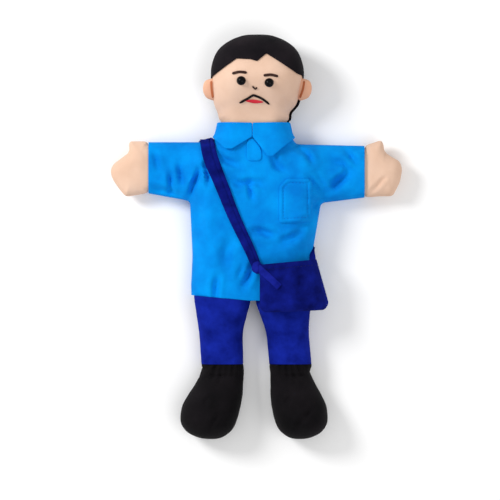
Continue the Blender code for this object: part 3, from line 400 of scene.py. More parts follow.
def smooth_loop(points, step=OUTLINE_STEP):
    """Closed smooth curve through the points, in even steps."""
    knots = [Vector(point) for point in anticlockwise(list(points))]
    count = len(knots)
    loop = []
    for i in range(count):
        before, start, end, after = (knots[(i + k) % count] for k in (-1, 0, 1, 2))
        pieces = max(1, round((end - start).length / step))
        loop += [tuple(curve_point(before, start, end, after, k / pieces)) for k in range(pieces)]
    return loop


def round_corners(points, radius, step=OUTLINE_STEP):
    """Closed outline of straight sides with rounded corners, in even steps."""
    knots = [Vector(point) for point in anticlockwise(list(points))]
    count = len(knots)
    loop = []
    for i in range(count):
        before, corner, after = (knots[(i + k) % count] for k in (-1, 0, 1))
        start = corner + (before - corner).normalized() * min(radius, (before - corner).length * 0.45)
        end = corner + (after - corner).normalized() * min(radius, (after - corner).length * 0.45)
        arc = max(2, round((end - start).length / step) + 1)
        for k in range(arc + 1):
            share = k / arc
            loop.append(start * (1 - share) ** 2 + corner * 2 * share * (1 - share) + end * share ** 2)
        leave = after + (corner - after).normalized() * min(radius, (after - corner).length * 0.45)
        pieces = max(1, round((leave - end).length / step))
        loop += [end.lerp(leave, k / pieces) for k in range(1, pieces)]
    return [tuple(point) for point in loop]


def smooth_path(points, step):
    """Open smooth curve through the points, in even steps."""
    knots = [Vector(point) for point in points]
    path = []
    for i in range(len(knots) - 1):
        before = knots[max(i - 1, 0)]
        after = knots[min(i + 2, len(knots) - 1)]
        pieces = max(1, round((knots[i + 1] - knots[i]).length / step))
        path += [curve_point(before, knots[i], knots[i + 1], after, k / pieces) for k in range(pieces)]
    return path + [knots[-1]]


def straight_path(points, step):
    """Places at even steps along straight lines."""
    line = []
    for start, end in zip(points, points[1:]):
        count = max(1, round(math.dist(start, end) / step))
        line += [(mix(start[0], end[0], k / count), mix(start[1], end[1], k / count)) for k in range(count)]
    return line + [tuple(points[-1])]


def both_sides(path, width, taper=lambda share: 1.0):
    """The two sides of a flat band along a path. taper says how much of the width it has there."""
    left, right = [], []
    for i, place in enumerate(path):
        ahead = (path[min(i + 1, len(path) - 1)] - path[max(i - 1, 0)]).normalized()
        across = Vector((-ahead.y, ahead.x)) * width * taper(i / (len(path) - 1)) / 2
        left.append(tuple(place + across))
        right.append(tuple(place - across))
    return left, right


def stitch(points, width):
    """Outline of a line of thread: widest in the middle, narrow at both ends."""
    def taper(share):
        return 0.45 + 0.55 * min(1.0, 3.2 * math.sin(math.pi * share))
    left, right = both_sides(smooth_path(points, THREAD_STEP), width, taper)
    return anticlockwise(left + right[::-1])


def distance_to(outline, places):
    """Distance of each place to the nearest side of a closed outline."""
    starts = np.array(outline)
    sides = np.roll(starts, -1, axis=0) - starts
    lengths = np.maximum((sides ** 2).sum(axis=1), 1e-14)
    nearest = np.empty(len(places))
    for first in range(0, len(places), 2000):
        part = places[first:first + 2000]
        offset = part[:, None, :] - starts[None]
        along = np.clip((offset * sides[None]).sum(axis=2) / lengths, 0.0, 1.0)
        gaps = offset - along[:, :, None] * sides[None]
        nearest[first:first + 2000] = np.sqrt((gaps ** 2).sum(axis=2)).min(axis=1)
    return nearest


def beside_path(path, places):
    """Distance of each place to an open path, and how far along the path that is, from 0 to 1."""
    knots = np.array(path)
    runs = np.linalg.norm(np.diff(knots, axis=0), axis=1)
    before = np.concatenate([[0.0], np.cumsum(runs)])
    nearest = np.full(len(places), 1.0)
    share = np.zeros(len(places))
    for i, run in enumerate(runs):
        line = knots[i + 1] - knots[i]
        offset = places - knots[i]
        along = np.clip(offset @ line / (run * run), 0.0, 1.0)
        gap = np.linalg.norm(offset - along[:, None] * line, axis=1)
        closer = gap < nearest
        nearest = np.where(closer, gap, nearest)
        share = np.where(closer, (before[i] + along * run) / before[-1], share)
    return nearest, share


def inside(outline, places):
    """Which places lie inside a closed outline."""
    found = np.zeros(len(places), bool)
    x, y = places[:, 0], places[:, 1]
    for (x1, y1), (x2, y2) in zip(outline, outline[1:] + outline[:1]):
        if y1 != y2:
            crosses = (y1 > y) != (y2 > y)
            found ^= crosses & (x < (x2 - x1) * (y - y1) / (y2 - y1) + x1)
    return found


def inward_ring(outline, inset):
    """The outline moved in, without the points that come too near another side."""
    points = np.array(outline)
    ahead = np.roll(points, -1, axis=0) - np.roll(points, 1, axis=0)
    ahead /= np.maximum(np.linalg.norm(ahead, axis=1), 1e-12)[:, None]
    moved = points + np.stack((-ahead[:, 1], ahead[:, 0]), axis=1) * inset
    keep = inside(outline, moved)
    keep &= distance_to(outline, moved) > inset * 0.93
    return moved[keep]


def fill_plan(outline, insets, step):
    """Triangles over an outline: rings near its edge, where the cloth turns over, and an even grid inside."""
    rings = [inward_ring(outline, inset) for inset in insets]
    edge = np.array(outline)
    low, high = edge.min(axis=0), edge.max(axis=0)
    rows = []
    for row, y in enumerate(np.arange(low[1], high[1], step * 0.866)):
        shift = 0.5 * step * (row % 2)
        xs = np.arange(low[0] + shift, high[0], step)
        rows.append(np.stack((xs, np.full(len(xs), y)), axis=1))
    grid = np.concatenate(rows)
    grid = grid[inside(outline, grid)]
    grid = grid[distance_to(outline, grid) > insets[-1] + 0.55 * step]
    points = np.concatenate([edge, *rings, grid])
    count = len(edge)
    sides = [(i, (i + 1) % count) for i in range(count)]
    found = delaunay_2d_cdt([Vector(point) for point in points], sides, [], 1, 1e-7)
    places = np.array([tuple(point) for point in found[0]])
    triangles = np.array([face for face in found[2] if len(face) == 3])
    rim = np.zeros(len(places), bool)
    for index, sources in enumerate(found[3]):
        rim[index] = any(source < count for source in sources)
    return places, triangles[~rim[triangles].all(axis=1)], rim


def wrinkle(places, size, seed):
    """Smooth uneven values from -1 to 1 over the plan."""
    shift = Vector((seed * 3.17, seed * 1.71, seed * 0.73))
    return np.array([noise.noise(Vector((x / size, y / size, 0.0)) + shift) for x, y in places])


def two_layers(triangles, edge, upper, lower):
    """Points and faces of an upper and a lower cloth that share their edge."""
    own = np.flatnonzero(~edge)
    below = np.arange(len(upper))
    below[own] = len(upper) + np.arange(len(own))
    return np.concatenate([upper, lower[own]]), np.concatenate([triangles, below[triangles][:, ::-1]])


class Form:
    """Two faces of cloth that swell away from the seam round an outline, as in the CAD part.

    A fold is (path, width, depth): it cuts into the front, and the cloth beside it stands up a little.
    """

    def __init__(self, outline, seam, front, back, rim, floor=-1.0, folds=(), step=CLOTH_STEP, rumple=0.0, seed=1):
        self.outline = outline
        self.seam = seam
        self.front = front
        self.back = back
        self.rim = rim
        self.floor = floor
        self.folds = folds
        self.step = step
        self.rumple = rumple
        self.seed = seed

    def fold_depth(self, places):
        depth = np.zeros(len(places))
        for path, width, deep in self.folds:
            away, share = beside_path(path, places)
            away = away / width
            taper = np.sin(math.pi * np.clip(share, 0.02, 0.98)) ** 0.6
            depth += deep * taper * (np.exp(-(2.0 * away) ** 2) - 0.38 * np.exp(-(2.4 * (away - 1.0)) ** 2))
        if self.rumple:
            depth += self.rumple * (wrinkle(places, 0.016, self.seed) + 0.5 * wrinkle(places, 0.007, self.seed + 5))
        return np.maximum(depth, -FOLD_STAND)

    def swell(self, places):
        inward = np.minimum(distance_to(self.outline, places) / read(self.rim, places), 1.0)
        inward = np.where(inside(self.outline, places), inward, 0.0)
        return np.sqrt(np.maximum(1.0 - (1.0 - inward) ** 2, 0.0))

    def height(self, places, side=1):
        """Height of the front (side 1) or of the back (side -1) over places of the plan."""
        seam = read(self.seam, places)
        if side > 0:
            return seam + (read(self.front, places) - self.fold_depth(places)) * self.swell(places)
        return np.maximum(seam - read(self.back, places) * self.swell(places), self.floor)

    def place(self, places, lift, side=1):
        """Points over places of the plan, moved out from the cloth by lift."""
        reach = 0.0004
        z = self.height(places, side)
        east = (self.height(places + (reach, 0), side) - self.height(places - (reach, 0), side)) / (2 * reach)
        north = (self.height(places + (0, reach), side) - self.height(places - (0, reach), side)) / (2 * reach)
        out = np.stack((-east, -north, np.ones(len(places))), axis=1) * side
        out /= np.linalg.norm(out, axis=1)[:, None]
        return np.column_stack((places, z)) + out * np.reshape(lift, (-1, 1))

    def mesh(self):
        """The closed form: front and back faces that share their seam."""
        rim = float(np.min(read(self.rim, np.array(self.outline))))
        insets = [rim * (1.0 - math.cos(turn)) for turn in np.linspace(0.0, 1.0, 9)[1:] * 0.9]
        insets = [inset for inset in insets if inset > 0.0001]
        places, triangles, edge = fill_plan(self.outline, insets, self.step)
        upper = np.column_stack((places, self.height(places, 1)))
        lower = np.column_stack((places, self.height(places, -1)))
        upper[edge, 2] = read(self.seam, places[edge])
        return two_layers(triangles, edge, upper, lower)


def new_shape(points, faces):
    shape = bmesh.new()
    verts = [shape.verts.new(point) for point in points]
    for face in faces:
        if len(set(face)) == len(face):
            shape.faces.new([verts[i] for i in face])
    return shape


def new_object(name, data):
    made = bpy.data.objects.new(name, data)
    bpy.context.scene.collection.objects.link(made)
    return made


def new_mesh(name, shape):
    mesh = bpy.data.meshes.new(name)
    shape.to_mesh(mesh)
    shape.free()
    return mesh


def add_piece(name, shape, cloth, replaces=()):
    """A piece of the looks that rides on the puppet's one body."""
    mesh = new_mesh(name, shape)
    mesh.materials.append(materials[cloth])
    mesh.shade_smooth()
    mesh.set_sharp_from_angle(angle=SMOOTH_ANGLE)
    piece = new_object(name, mesh)
    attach(piece, "root")
    if replaces:
        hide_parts(*replaces)
    return piece


def cut_open(shape, place, normal, close=False):
    """Cut a shape off at a plane, and leave it open or close it."""
    geometry = shape.verts[:] + shape.edges[:] + shape.faces[:]
    bmesh.ops.bisect_plane(shape, geom=geometry, dist=1e-6, plane_co=place, plane_no=normal, clear_outer=True)
    if close:
        bmesh.ops.holes_fill(shape, edges=[edge for edge in shape.edges if edge.is_boundary])
    return shape


def apply_modifiers(piece):
    """The piece's mesh as its modifiers leave it."""
    bpy.context.view_layer.update()
    evaluated = piece.evaluated_get(bpy.context.evaluated_depsgraph_get())
    mesh = bpy.data.meshes.new_from_object(evaluated)
    piece.modifiers.clear()
    old = piece.data
    piece.data = mesh
    bpy.data.meshes.remove(old)


def lining(piece, thickness, offset=-1.0):
    """Give an open cloth its thickness: inwards at offset -1, outwards at 1."""
    wall = piece.modifiers.new("cloth", "SOLIDIFY")
    wall.thickness = thickness
    wall.offset = offset
    wall.use_even_offset = False
    apply_modifiers(piece)


def settle(piece, held, cap, floor=None):
    """Let the cloth of a piece settle under the push of what fills it. held says which points stay.

    It runs at SETTLE_SCALE times the size, and no point moves further than cap.
    """
    mesh = piece.data
    rest = np.array([tuple(vert.co) for vert in mesh.vertices])
    fixed = np.flatnonzero(held(rest))
    mesh.vertices.foreach_set("co", (rest * SETTLE_SCALE).ravel())
    mesh.update()
    group = piece.vertex_groups.new(name="held")
    group.add([int(i) for i in fixed], 1.0, "REPLACE")
    cloth = piece.modifiers.new("filling", "CLOTH")
    for name, value in CLOTH_SETTINGS:
        setattr(cloth.settings, name, value)
    cloth.settings.effector_weights.gravity = 0.0
    cloth.collision_settings.use_collision = False
    cloth.point_cache.frame_start = 1
    cloth.point_cache.frame_end = SETTLE_FRAMES
    for frame_number in range(1, SETTLE_FRAMES + 1):
        bpy.context.scene.frame_set(frame_number)
    evaluated = piece.evaluated_get(bpy.context.evaluated_depsgraph_get())
    settled = np.array([tuple(vert.co) for vert in evaluated.data.vertices]) / SETTLE_SCALE
    piece.modifiers.clear()
    piece.vertex_groups.clear()
    bpy.context.scene.frame_set(1)
    move = settled - rest
    length = np.linalg.norm(move, axis=1)
    move *= np.minimum(1.0, cap / np.maximum(length, 1e-9))[:, None]
    settled = rest + move
    if floor is not None:
        settled[:, 2] = np.maximum(settled[:, 2], np.minimum(floor, rest[:, 2]))
    mesh.vertices.foreach_set("co", settled.ravel())
    mesh.update()


def patch(form, outline, lift, thickness, step=TRIM_STEP, profile=None):
    """A closed piece of cloth that lies on a form, with a rolled edge. lift is a length or a rule."""
    outline = anticlockwise(list(outline))
    insets = [thickness * share for share in (0.10, 0.35, 0.80)]
    places, triangles, edge = fill_plan(outline, insets, step)
    away = distance_to(outline, places)
    rounded = np.sqrt(np.maximum(1.0 - (1.0 - np.minimum(away / (0.8 * thickness), 1.0)) ** 2, 0.0))
    extra = profile(away) if profile else 0.0
    lift = read(lift, places)
    top = form.place(places, lift + thickness * (0.5 + 0.5 * rounded) + extra * rounded)
    bottom = form.place(places, lift + thickness * (0.5 - 0.5 * rounded))
    return new_shape(*two_layers(triangles, edge, top, bottom))


def join_rings(shape, sections):
    """Add the skin through a row of rings to a shape, closed at both ends."""
    rings = [[shape.verts.new(point) for point in section] for section in sections]
    count = len(rings[0])
    for first, second in zip(rings, rings[1:]):
        for k in range(count):
            shape.faces.new((first[k], first[(k + 1) % count], second[(k + 1) % count], second[k]))
    shape.faces.new(rings[0][::-1])
    shape.faces.new(rings[-1])
    return shape


def tube(shape, points, radius):
    """Add a round thread along points to a shape, thinner at both ends."""
    points = [Vector(point) for point in points]
    sections = []
    for i, place in enumerate(points):
        ahead = (points[min(i + 1, len(points) - 1)] - points[max(i - 1, 0)]).normalized()
        across = ahead.cross(Vector((0.0, 0.0, 1.0)))
        across = across.normalized() if across.length > 1e-6 else Vector((1.0, 0.0, 0.0))
        up = across.cross(ahead)
        size = radius * (0.55 if i in (0, len(points) - 1) else 1.0)
        turns = [math.tau * k / THREAD_SIDES for k in range(THREAD_SIDES)]
        sections.append([place + (across * math.cos(turn) + up * math.sin(turn)) * size for turn in turns])
    return join_rings(shape, sections)


def sewing_line(form, path, lift):
    """A row of short stitches along a path on a form."""
    path = np.array([tuple(point) for point in path])
    lengths = np.concatenate([[0.0], np.cumsum(np.linalg.norm(np.diff(path, axis=0), axis=1))])
    shape = bmesh.new()
    start = 0.0
    while start + STITCH_LENGTH < lengths[-1]:
        along = np.linspace(start, start + STITCH_LENGTH, 5)
        places = np.column_stack([np.interp(along, lengths, path[:, k]) for k in (0, 1)])
        arch = np.array(STITCH_ARCH) * STITCH_THICKNESS / 2
        tube(shape, form.place(places, lift + arch), STITCH_THICKNESS / 2)
        start += STITCH_LENGTH + STITCH_GAP
    return shape


# Shapes in plan, close to those of the CAD part

def changing(first, second, share):
    """A rule of a form: the first size, changing to the second as share(y) goes from 0 to 1."""
    return lambda x, y: mix(first, second, share(y))


def body_middle(y):
    return BODY_X - BODY_LEAN * ease(ARMPIT_Y, HEM_Y, y)


def body_side(side, y, width):
    return (float(body_middle(y)) + side * width / 2, y)


def sleeve_drop(side):
    return SLEEVE_DROP if side > 0 else 0.0


def shirt_outline():
    halves = {}
    for side, label in SIDES:
        drop = sleeve_drop(side)
        top = SHOULDER_Y - drop
        low = top - CUFF_WIDTH
        end_x = side * SLEEVE_SPAN / 2
        past_x = side * (SLEEVE_SPAN / 2 + SEWN_OFF)
        armpit = body_side(side, ARMPIT_Y - drop / 2, ARMPIT_WIDTH)
        fuller = LEFT_FULLNESS if side < 0 else 0.0
        slope = (low - armpit[1]) / (end_x - armpit[0])
        halves[label] = [
            (body_side(side, HEM_Y, HEM_WIDTH)[0] - fuller, HEM_Y - SEWN_OFF),
            (body_side(side, HEM_Y, HEM_WIDTH)[0] - 1.4 * fuller, HEM_Y + 0.012),
            (body_side(side, WAIST_Y, WAIST_WIDTH)[0] - 1.2 * fuller, WAIST_Y),
            armpit,
            (past_x, low + slope * (past_x - end_x)),
            (past_x, top),
            (NECK_X + side * SHOULDER_WIDTH / 2, SHOULDER_Y - drop / 2),
            (NECK_X + side * (STUB_HALF + NECK_FLARE), NECK_EDGE_Y),
            (NECK_X + side * STUB_HALF, COLLAR_TOP_Y),
            (NECK_X + side * STUB_HALF, COLLAR_TOP_Y + SEWN_OFF),
        ]
    return round_corners(halves["right"] + halves["left"][::-1], 0.004)


def toward_sleeve(x):
    return ease(0.042, 0.074, np.abs(x - BODY_X))


def toward_neck(y):
    return ease(ARMPIT_Y + 0.040, NECK_EDGE_Y, y)


def shirt_front_swell(x, y):
    body = mix(CHEST_FRONT, HEM_FRONT, ease(WAIST_Y + 0.02, HEM_Y, y))
    body = mix(body, NECK_FRONT + CLOTH + EASE, toward_neck(y))
    return mix(body, SLEEVE_FRONT, toward_sleeve(x))


def shirt_rim(x, y):
    body = mix(BODY_RIM, NECK_RIM + CLOTH + EASE, toward_neck(y))
    return mix(body, SLEEVE_RIM, toward_sleeve(x))


def head_outline():
    right, left = [], []
    for side, half in ((1, right), (-1, left)):
        neck = NECK_X + side * NECK_WIDTH / 2
        half.append((neck, NECK_FOOT_Y - SEWN_OFF))
        half.append((neck, mix(NECK_FOOT_Y, COLLAR_TOP_Y, 0.5)))
        half.append((neck, COLLAR_TOP_Y - GAP))
        half.append((THROAT_X + side * THROAT_WIDTH / 2, THROAT_Y))
        half.append((CHIN_X + side * CHIN_WIDTH / 2, CHIN_Y))
        for up, out in SKULL_LEVELS:
            middle = mix(JAW_X, HEAD_X, min(up / SKULL_LEVELS[2][0], 1.0))
            half.append((middle + side * out * HEAD_WIDTH / 2, mix(JAW_Y, CROWN_Y, up)))
    return smooth_loop(right + left[::-1])


def toward_head(y):
    return ease(COLLAR_TOP_Y, CHEEK_Y, y)


def hand_outline(side):
    cuff_x = side * SLEEVE_SPAN / 2
    top = SHOULDER_Y - sleeve_drop(side) - (CUFF_WIDTH - HAND_WIDTH) / 2
    inner_top = SHOULDER_Y - sleeve_drop(side) - CLOTH - EASE
    inner_low = SHOULDER_Y - sleeve_drop(side) - CUFF_WIDTH + CLOTH + EASE
    points = [(cuff_x - side * SEWN_OFF, inner_top), (cuff_x + side * GAP, inner_top)]
    points += [(cuff_x + side * HAND_LENGTH * out, top - HAND_WIDTH * (1.0 - up)) for out, up in HAND_SHAPE[side > 0]]
    points += [(cuff_x + side * GAP, inner_low), (cuff_x - side * SEWN_OFF, inner_low)]
    return round_corners(points, HAND_CORNER, FINE_OUTLINE)


def leg_outline(index):
    rows = []
    for y, (middle, width) in (
        (HEM_Y + SEWN_OFF, LEG_TOP[index]),
        (HEM_Y, LEG_TOP[index]),
        (KNEE_Y, LEG_KNEE[index]),
        (ANKLE_Y, LEG_ANKLE[index]),
        (ANKLE_Y - SEWN_OFF, LEG_ANKLE[index]),
    ):
        rows.append((middle - width / 2, middle + width / 2, y))
    right = [(high, y) for low, high, y in rows]
    left = [(low, y) for low, high, y in rows]
    return round_corners(left[::-1] + right, 0.010)


def leg_lift(y):
    return ease(KNEE_Y - 0.008, HEM_Y, y)


def shoe_outline(index, side):
    ankle_x, ankle_width = LEG_ANKLE[index]
    outer = [(ankle_x + side * ankle_width / 2, ANKLE_Y + SEWN_OFF), (ankle_x + side * ankle_width / 2, ANKLE_Y)]
    inner = [(ankle_x - side * ankle_width / 2, ANKLE_Y + SEWN_OFF), (ankle_x - side * ankle_width / 2, ANKLE_Y)]
    for down, width, splay in SHOE_LEVELS:
        middle = ankle_x + SHOE_SPLAY[index] * splay
        y = ANKLE_Y - SHOE_LENGTH * down
        outer.append((middle + side * width * SHOE_WIDTH[index] / 2, y))
        inner.append((middle - side * width * SHOE_WIDTH[index] / 2, y))
    return smooth_loop(outer + inner[::-1])


def toward_toe(y):
    return ease(ANKLE_Y, ANKLE_Y - 0.55 * SHOE_LENGTH, y)


def shoe_folds(index):
    """Gathers that fan out from the ankle into the shoe, a band across them, and lumps of the filling."""
    ankle_x, ankle_width = LEG_ANKLE[index]
    folds = []
    for share in SHOE_GATHERS:
        start = (ankle_x + share * ankle_width / 2, ANKLE_Y + 0.004)
        drift = SHOE_SPLAY[index] * 0.35 + share * 0.006
        down = 0.22 + 0.10 * math.cos(7.0 * share)
        folds.append(((start, (start[0] + drift, ANKLE_Y - down * SHOE_LENGTH)), 0.0036, 0.0020))
    band = []
    for share in (-0.6, -0.2, 0.2, 0.6):
        band.append((ankle_x + share * ankle_width, ANKLE_Y - 0.0100 - 0.0012 * math.cos(3.0 * share)))
    folds.append((band, 0.0034, 0.0022))
    for out, down, reach in SHOE_LUMPS:
        x = ankle_x + SHOE_SPLAY[index] * down + out * SHOE_WIDTH[index] / 2
        y = ANKLE_Y - down * SHOE_LENGTH
        folds.append((((x - reach / 2, y - reach), (x, y), (x + reach / 2, y + 0.6 * reach)), 0.0046, 0.0024))
    return folds


def bag_outline():
    left, right = BAG_LEFT_X, BAG_LEFT_X + BAG_WIDTH
    top, low = BAG_TOP_Y, BAG_TOP_Y - BAG_HEIGHT
    corner = 0.004
    points = [
        (left, top + SEWN_OFF),
        (left, low + corner),
        (left + corner, low),
        (right - corner, low + corner / 2),
        (right, low + 2 * corner),
        (right - BAG_SPREAD, top + SEWN_OFF / 4),
        (right - BAG_SPREAD, top + SEWN_OFF),
    ]
    return round_corners(points, BAG_CORNER, FINE_OUTLINE)


def bag_seam(x, y):
    """The bag lies on the front of the shirt, and its outer end hangs down beside the body."""
    on_body = SEAM_Z + CHEST_FRONT + GAP + BAG_THICKNESS / 2
    right = BAG_LEFT_X + BAG_WIDTH
    return on_body - BAG_DROP * np.maximum(0.0, (x - BAG_DROP_X) / (right - BAG_DROP_X)) ** 1.6


def make_forms():
    hem_z = SEAM_Z + HEM_FRONT - LEG_TOP_BACK
    leg_face = changing(LEG_FRONT, LEG_TOP_BACK, leg_lift)
    shirt = (shirt_outline(), SEAM_Z, shirt_front_swell, SEAM_Z - BACK_Z, shirt_rim, BACK_Z)
    folds = [(np.array(path) / TENTHS, width / TENTHS, depth / TENTHS) for path, width, depth in SHIRT_FOLDS]
    forms = {
        "shirt": Form(*shirt, folds=folds, rumple=0.0007, seed=2),
        "calm_shirt": Form(*shirt),
        "head": Form(
            head_outline(), *[changing(neck, head, toward_head) for neck, head in (
                (SEAM_Z, HEAD_SEAM_Z), (NECK_FRONT, HEAD_FRONT),
                (SEAM_Z - BACK_Z - CLOTH - EASE, HEAD_SEAM_Z), (NECK_RIM, HEAD_RIM),
            )], floor=HEAD_FLOOR, rumple=0.0001, seed=3,
        ),
        "bag": Form(
            bag_outline(), bag_seam, BAG_THICKNESS / 2, BAG_THICKNESS / 2, BAG_RIM, step=SMALL_STEP,
            rumple=0.0004, seed=10,
        ),
    }
    for index, (side, label) in enumerate(SIDES):
        forms["hand_" + label] = Form(
            hand_outline(side), SEAM_Z, HAND_FRONT, HAND_FRONT, HAND_RIM, folds=(HAND_CREASE,) * index,
            step=SMALL_STEP, rumple=0.0002, seed=4 + index,
        )
        forms["leg_" + label] = Form(
            leg_outline(index), changing(LEG_FRONT, hem_z, leg_lift), leg_face, leg_face, LEG_RIM, floor=0.0,
            rumple=0.0005, seed=6 + index,
        )
        forms["shoe_" + label] = Form(
            shoe_outline(index, side), changing(LEG_FRONT, SHOE_SEAM_Z, toward_toe),
            changing(LEG_FRONT, SHOE_HEIGHT - SHOE_SEAM_Z, toward_toe), SHOE_BACK,
            changing(LEG_RIM, SHOE_RIM, toward_toe), floor=0.0, folds=shoe_folds(index), step=SMALL_STEP,
            rumple=0.0004, seed=8 + index,
        )
    return forms


# Pieces

def slant_hem(shape, reach):
    """The hem, and the leg's top under it, rise a little towards the left."""
    for vert in shape.verts:
        rise = HEM_SLOPE * max(0.0, HEM_LOW_X - vert.co.x)
        vert.co.y += rise * float(ease(HEM_Y + reach, HEM_Y, vert.co.y))


def make_shirt(forms):
    shape = new_shape(*forms["shirt"].mesh())
    wide = SLEEVE_SPAN / 2
    cut_open(shape, (0.0, HEM_Y, 0.0), DOWN)
    cut_open(shape, (0.0, NECK_EDGE_Y, 0.0), UP)
    cut_open(shape, (wide, 0.0, 0.0), (1.0, 0.0, 0.0))
    cut_open(shape, (-wide, 0.0, 0.0), (-1.0, 0.0, 0.0))
    slant_hem(shape, HEM_BLEND)
    shirt = add_piece("shirt_cloth", shape, "shirt_cotton", ("shirt_front", "shirt_back"))
    lining(shirt, CLOTH)


def collar_leaf(side):
    """Outline of one leaf: from the neck's side, down to its point, and up to the middle."""
    meet_x, meet_y = COLLAR_MEET
    tip_out, tip_in = COLLAR_TIPS[side > 0]
    return [
        (NECK_X + side * (STUB_HALF + GAP), COLLAR_TOP_Y),
        (NECK_X + side * (STUB_HALF + NECK_FLARE), NECK_EDGE_Y),
        (NECK_X + side * (STUB_HALF + NECK_FLARE + LEAF_EDGE[0]), NECK_EDGE_Y - LEAF_EDGE[1]),
        tip_out,
        tip_in,
        (meet_x + side * LEAF_GAP, meet_y),
        (meet_x + side * LEAF_GAP, COLLAR_TOP_Y - 0.0006),
    ]


def line_y(start, end, x):
    """Height at x of the straight line through two points."""
    return start[1] + (end[1] - start[1]) * (x - start[0]) / (end[0] - start[0])


def leaf_lift(x, y):
    """The leaves lie close round the neck, and stand off at their tips."""
    close, open_at = (COLLAR_MEET[1] + turn for turn in LEAF_TURN)
    return GAP + LEAF_LIFT + LEAF_RISE * ease(close, open_at, y)


def make_collar(forms):
    for side, label in SIDES:
        outline = round_corners(collar_leaf(side), LEAF_EDGE[0], LEAF_STEP)
        shape = patch(forms["calm_shirt"], outline, leaf_lift, COLLAR_CLOTH)
        leaf = add_piece("collar_leaf_" + label, shape, "shirt_cotton", ("collar_" + label,))


def make_neck_tab(forms):
    left_leaf, right_leaf = collar_leaf(-1), collar_leaf(1)
    left_x = COLLAR_MEET[0] - TAB_WIDTH / 2 + TAB_SHIFT
    right_x = left_x + TAB_WIDTH
    outline = [
        (left_x, line_y(left_leaf[4], left_leaf[5], left_x) - GAP),
        (left_x, TAB_FOOT_Y),
        (right_x, TAB_FOOT_Y),
        (right_x, line_y(right_leaf[4], right_leaf[5], right_x) - GAP),
        (COLLAR_MEET[0], COLLAR_MEET[1] - 2 * GAP),
    ]
    shape = patch(forms["shirt"], round_corners(outline, TAB_CORNER, LEAF_STEP), GAP, TRIM_CLOTH)
    tab = add_piece("neck_tab_cloth", shape, "shirt_cotton", ("neck_tab",))


def pocket_outline(inset=0.0):
    left, right = POCKET_X - POCKET_WIDTH / 2 + inset, POCKET_X + POCKET_WIDTH / 2 - inset
    top, low = POCKET_TOP_Y - inset, POCKET_TOP_Y - POCKET_HEIGHT + inset
    cut = POCKET_CUT - 0.4 * inset
    return [(left, low), (right, low + 0.0015), (right, top - 0.003), (right - 0.002, top - 0.0005),
            (left + cut, top), (left, top - cut)]


def make_pocket(forms):
    def hem_roll(away):
        """The turned-in edge stands up, and the stitching pulls a groove beside it."""
        bumps = (POCKET_ROLL, POCKET_GROOVE)
        return sum(high * np.exp(-((away - middle) / wide) ** 2) for middle, wide, high in bumps)

    outline = round_corners(pocket_outline(), POCKET_CORNER, FINE_OUTLINE)
    shape = patch(forms["shirt"], outline, GAP, TRIM_CLOTH, POCKET_STEP, profile=hem_roll)
    pocket = add_piece("chest_pocket_cloth", shape, "shirt_cotton", ("chest_pocket",))
    path = round_corners(pocket_outline(POCKET_SEAM), 0.0010, 0.0010)
    stitches = sewing_line(forms["shirt"], path + path[:1], GAP + TRIM_CLOTH - 0.0006)
    add_piece("pocket_stitches", stitches, "shirt_thread")


def make_head(forms):
    shape = cut_open(new_shape(*forms["head"].mesh()), (0.0, NECK_FOOT_Y, 0.0), DOWN, close=True)
    head = add_piece("head_cloth", shape, "skin_cotton", ("head",))
    low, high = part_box("finger_sleeve")
    middle = (low + high) / 2
    bore = bmesh.new()
    radius = (high.x - low.x) / 2 + GAP
    depth = high.y - low.y + 0.002
    bmesh.ops.create_cone(bore, cap_ends=True, segments=40, radius1=radius, radius2=radius, depth=depth)
    bmesh.ops.rotate(bore, matrix=Matrix.Rotation(math.pi / 2, 3, "X"), verts=bore.verts)
    bmesh.ops.translate(bore, vec=middle, verts=bore.verts)
    cutter = new_object("finger_bore", new_mesh("finger_bore", bore))
    cut = head.modifiers.new("finger bore", "BOOLEAN")
    cut.operation = "DIFFERENCE"
    cut.object = cutter
    apply_modifiers(head)
    bpy.data.objects.remove(cutter, do_unlink=True)
    head.data.set_sharp_from_angle(angle=SMOOTH_ANGLE)


def make_hair(forms):
    form = forms["head"]
    places, triangles, edge = fill_plan(form.outline, HAIR_RINGS, CLOTH_STEP)
    middles = places[triangles].mean(axis=1)
    tucked = (middles[:, 0] < TUCK_X) & (middles[:, 1] < TUCK_Y) & (distance_to(form.outline, middles) < TUCK_DEPTH)
    triangles = triangles[~tucked]
    inner = form.place(places, GAP, -1)
    inner[edge] = np.column_stack((places[edge], read(form.seam, places[edge])))
    inner[:, 0] += STRAY_REACH * ease(*STRAY_X, places[:, 0]) * ease(*STRAY_Y, places[:, 1])
    shape = new_shape(inner, triangles[:, ::-1])
    bmesh.ops.delete(shape, geom=[vert for vert in shape.verts if not vert.link_faces], context="VERTS")
    cut_open(shape, (0.0, COLLAR_TOP_Y + 2 * GAP, 0.0), DOWN)
    back = add_piece("hair_back_cloth", shape, "hair_cotton", ("hair_back",))
    lining(back, HAIR_CLOTH, 1.0)

    line = straight_path(HAIRLINE, OUTLINE_STEP)
    above = [point for point in form.outline if point[1] > line_y(HAIRLINE[0], HAIRLINE[-1], point[0])]
    line = [point for point in line if inside(form.outline, np.array([point]))[0]]
    outline = anticlockwise(line + sorted(above, key=lambda point: math.atan2(point[1] - JAW_Y, point[0])))
    shape = patch(form, outline, GAP, HAIR_CLOTH)
    front = add_piece("hair_front_cloth", shape, "hair_cotton", ("hair_front",))


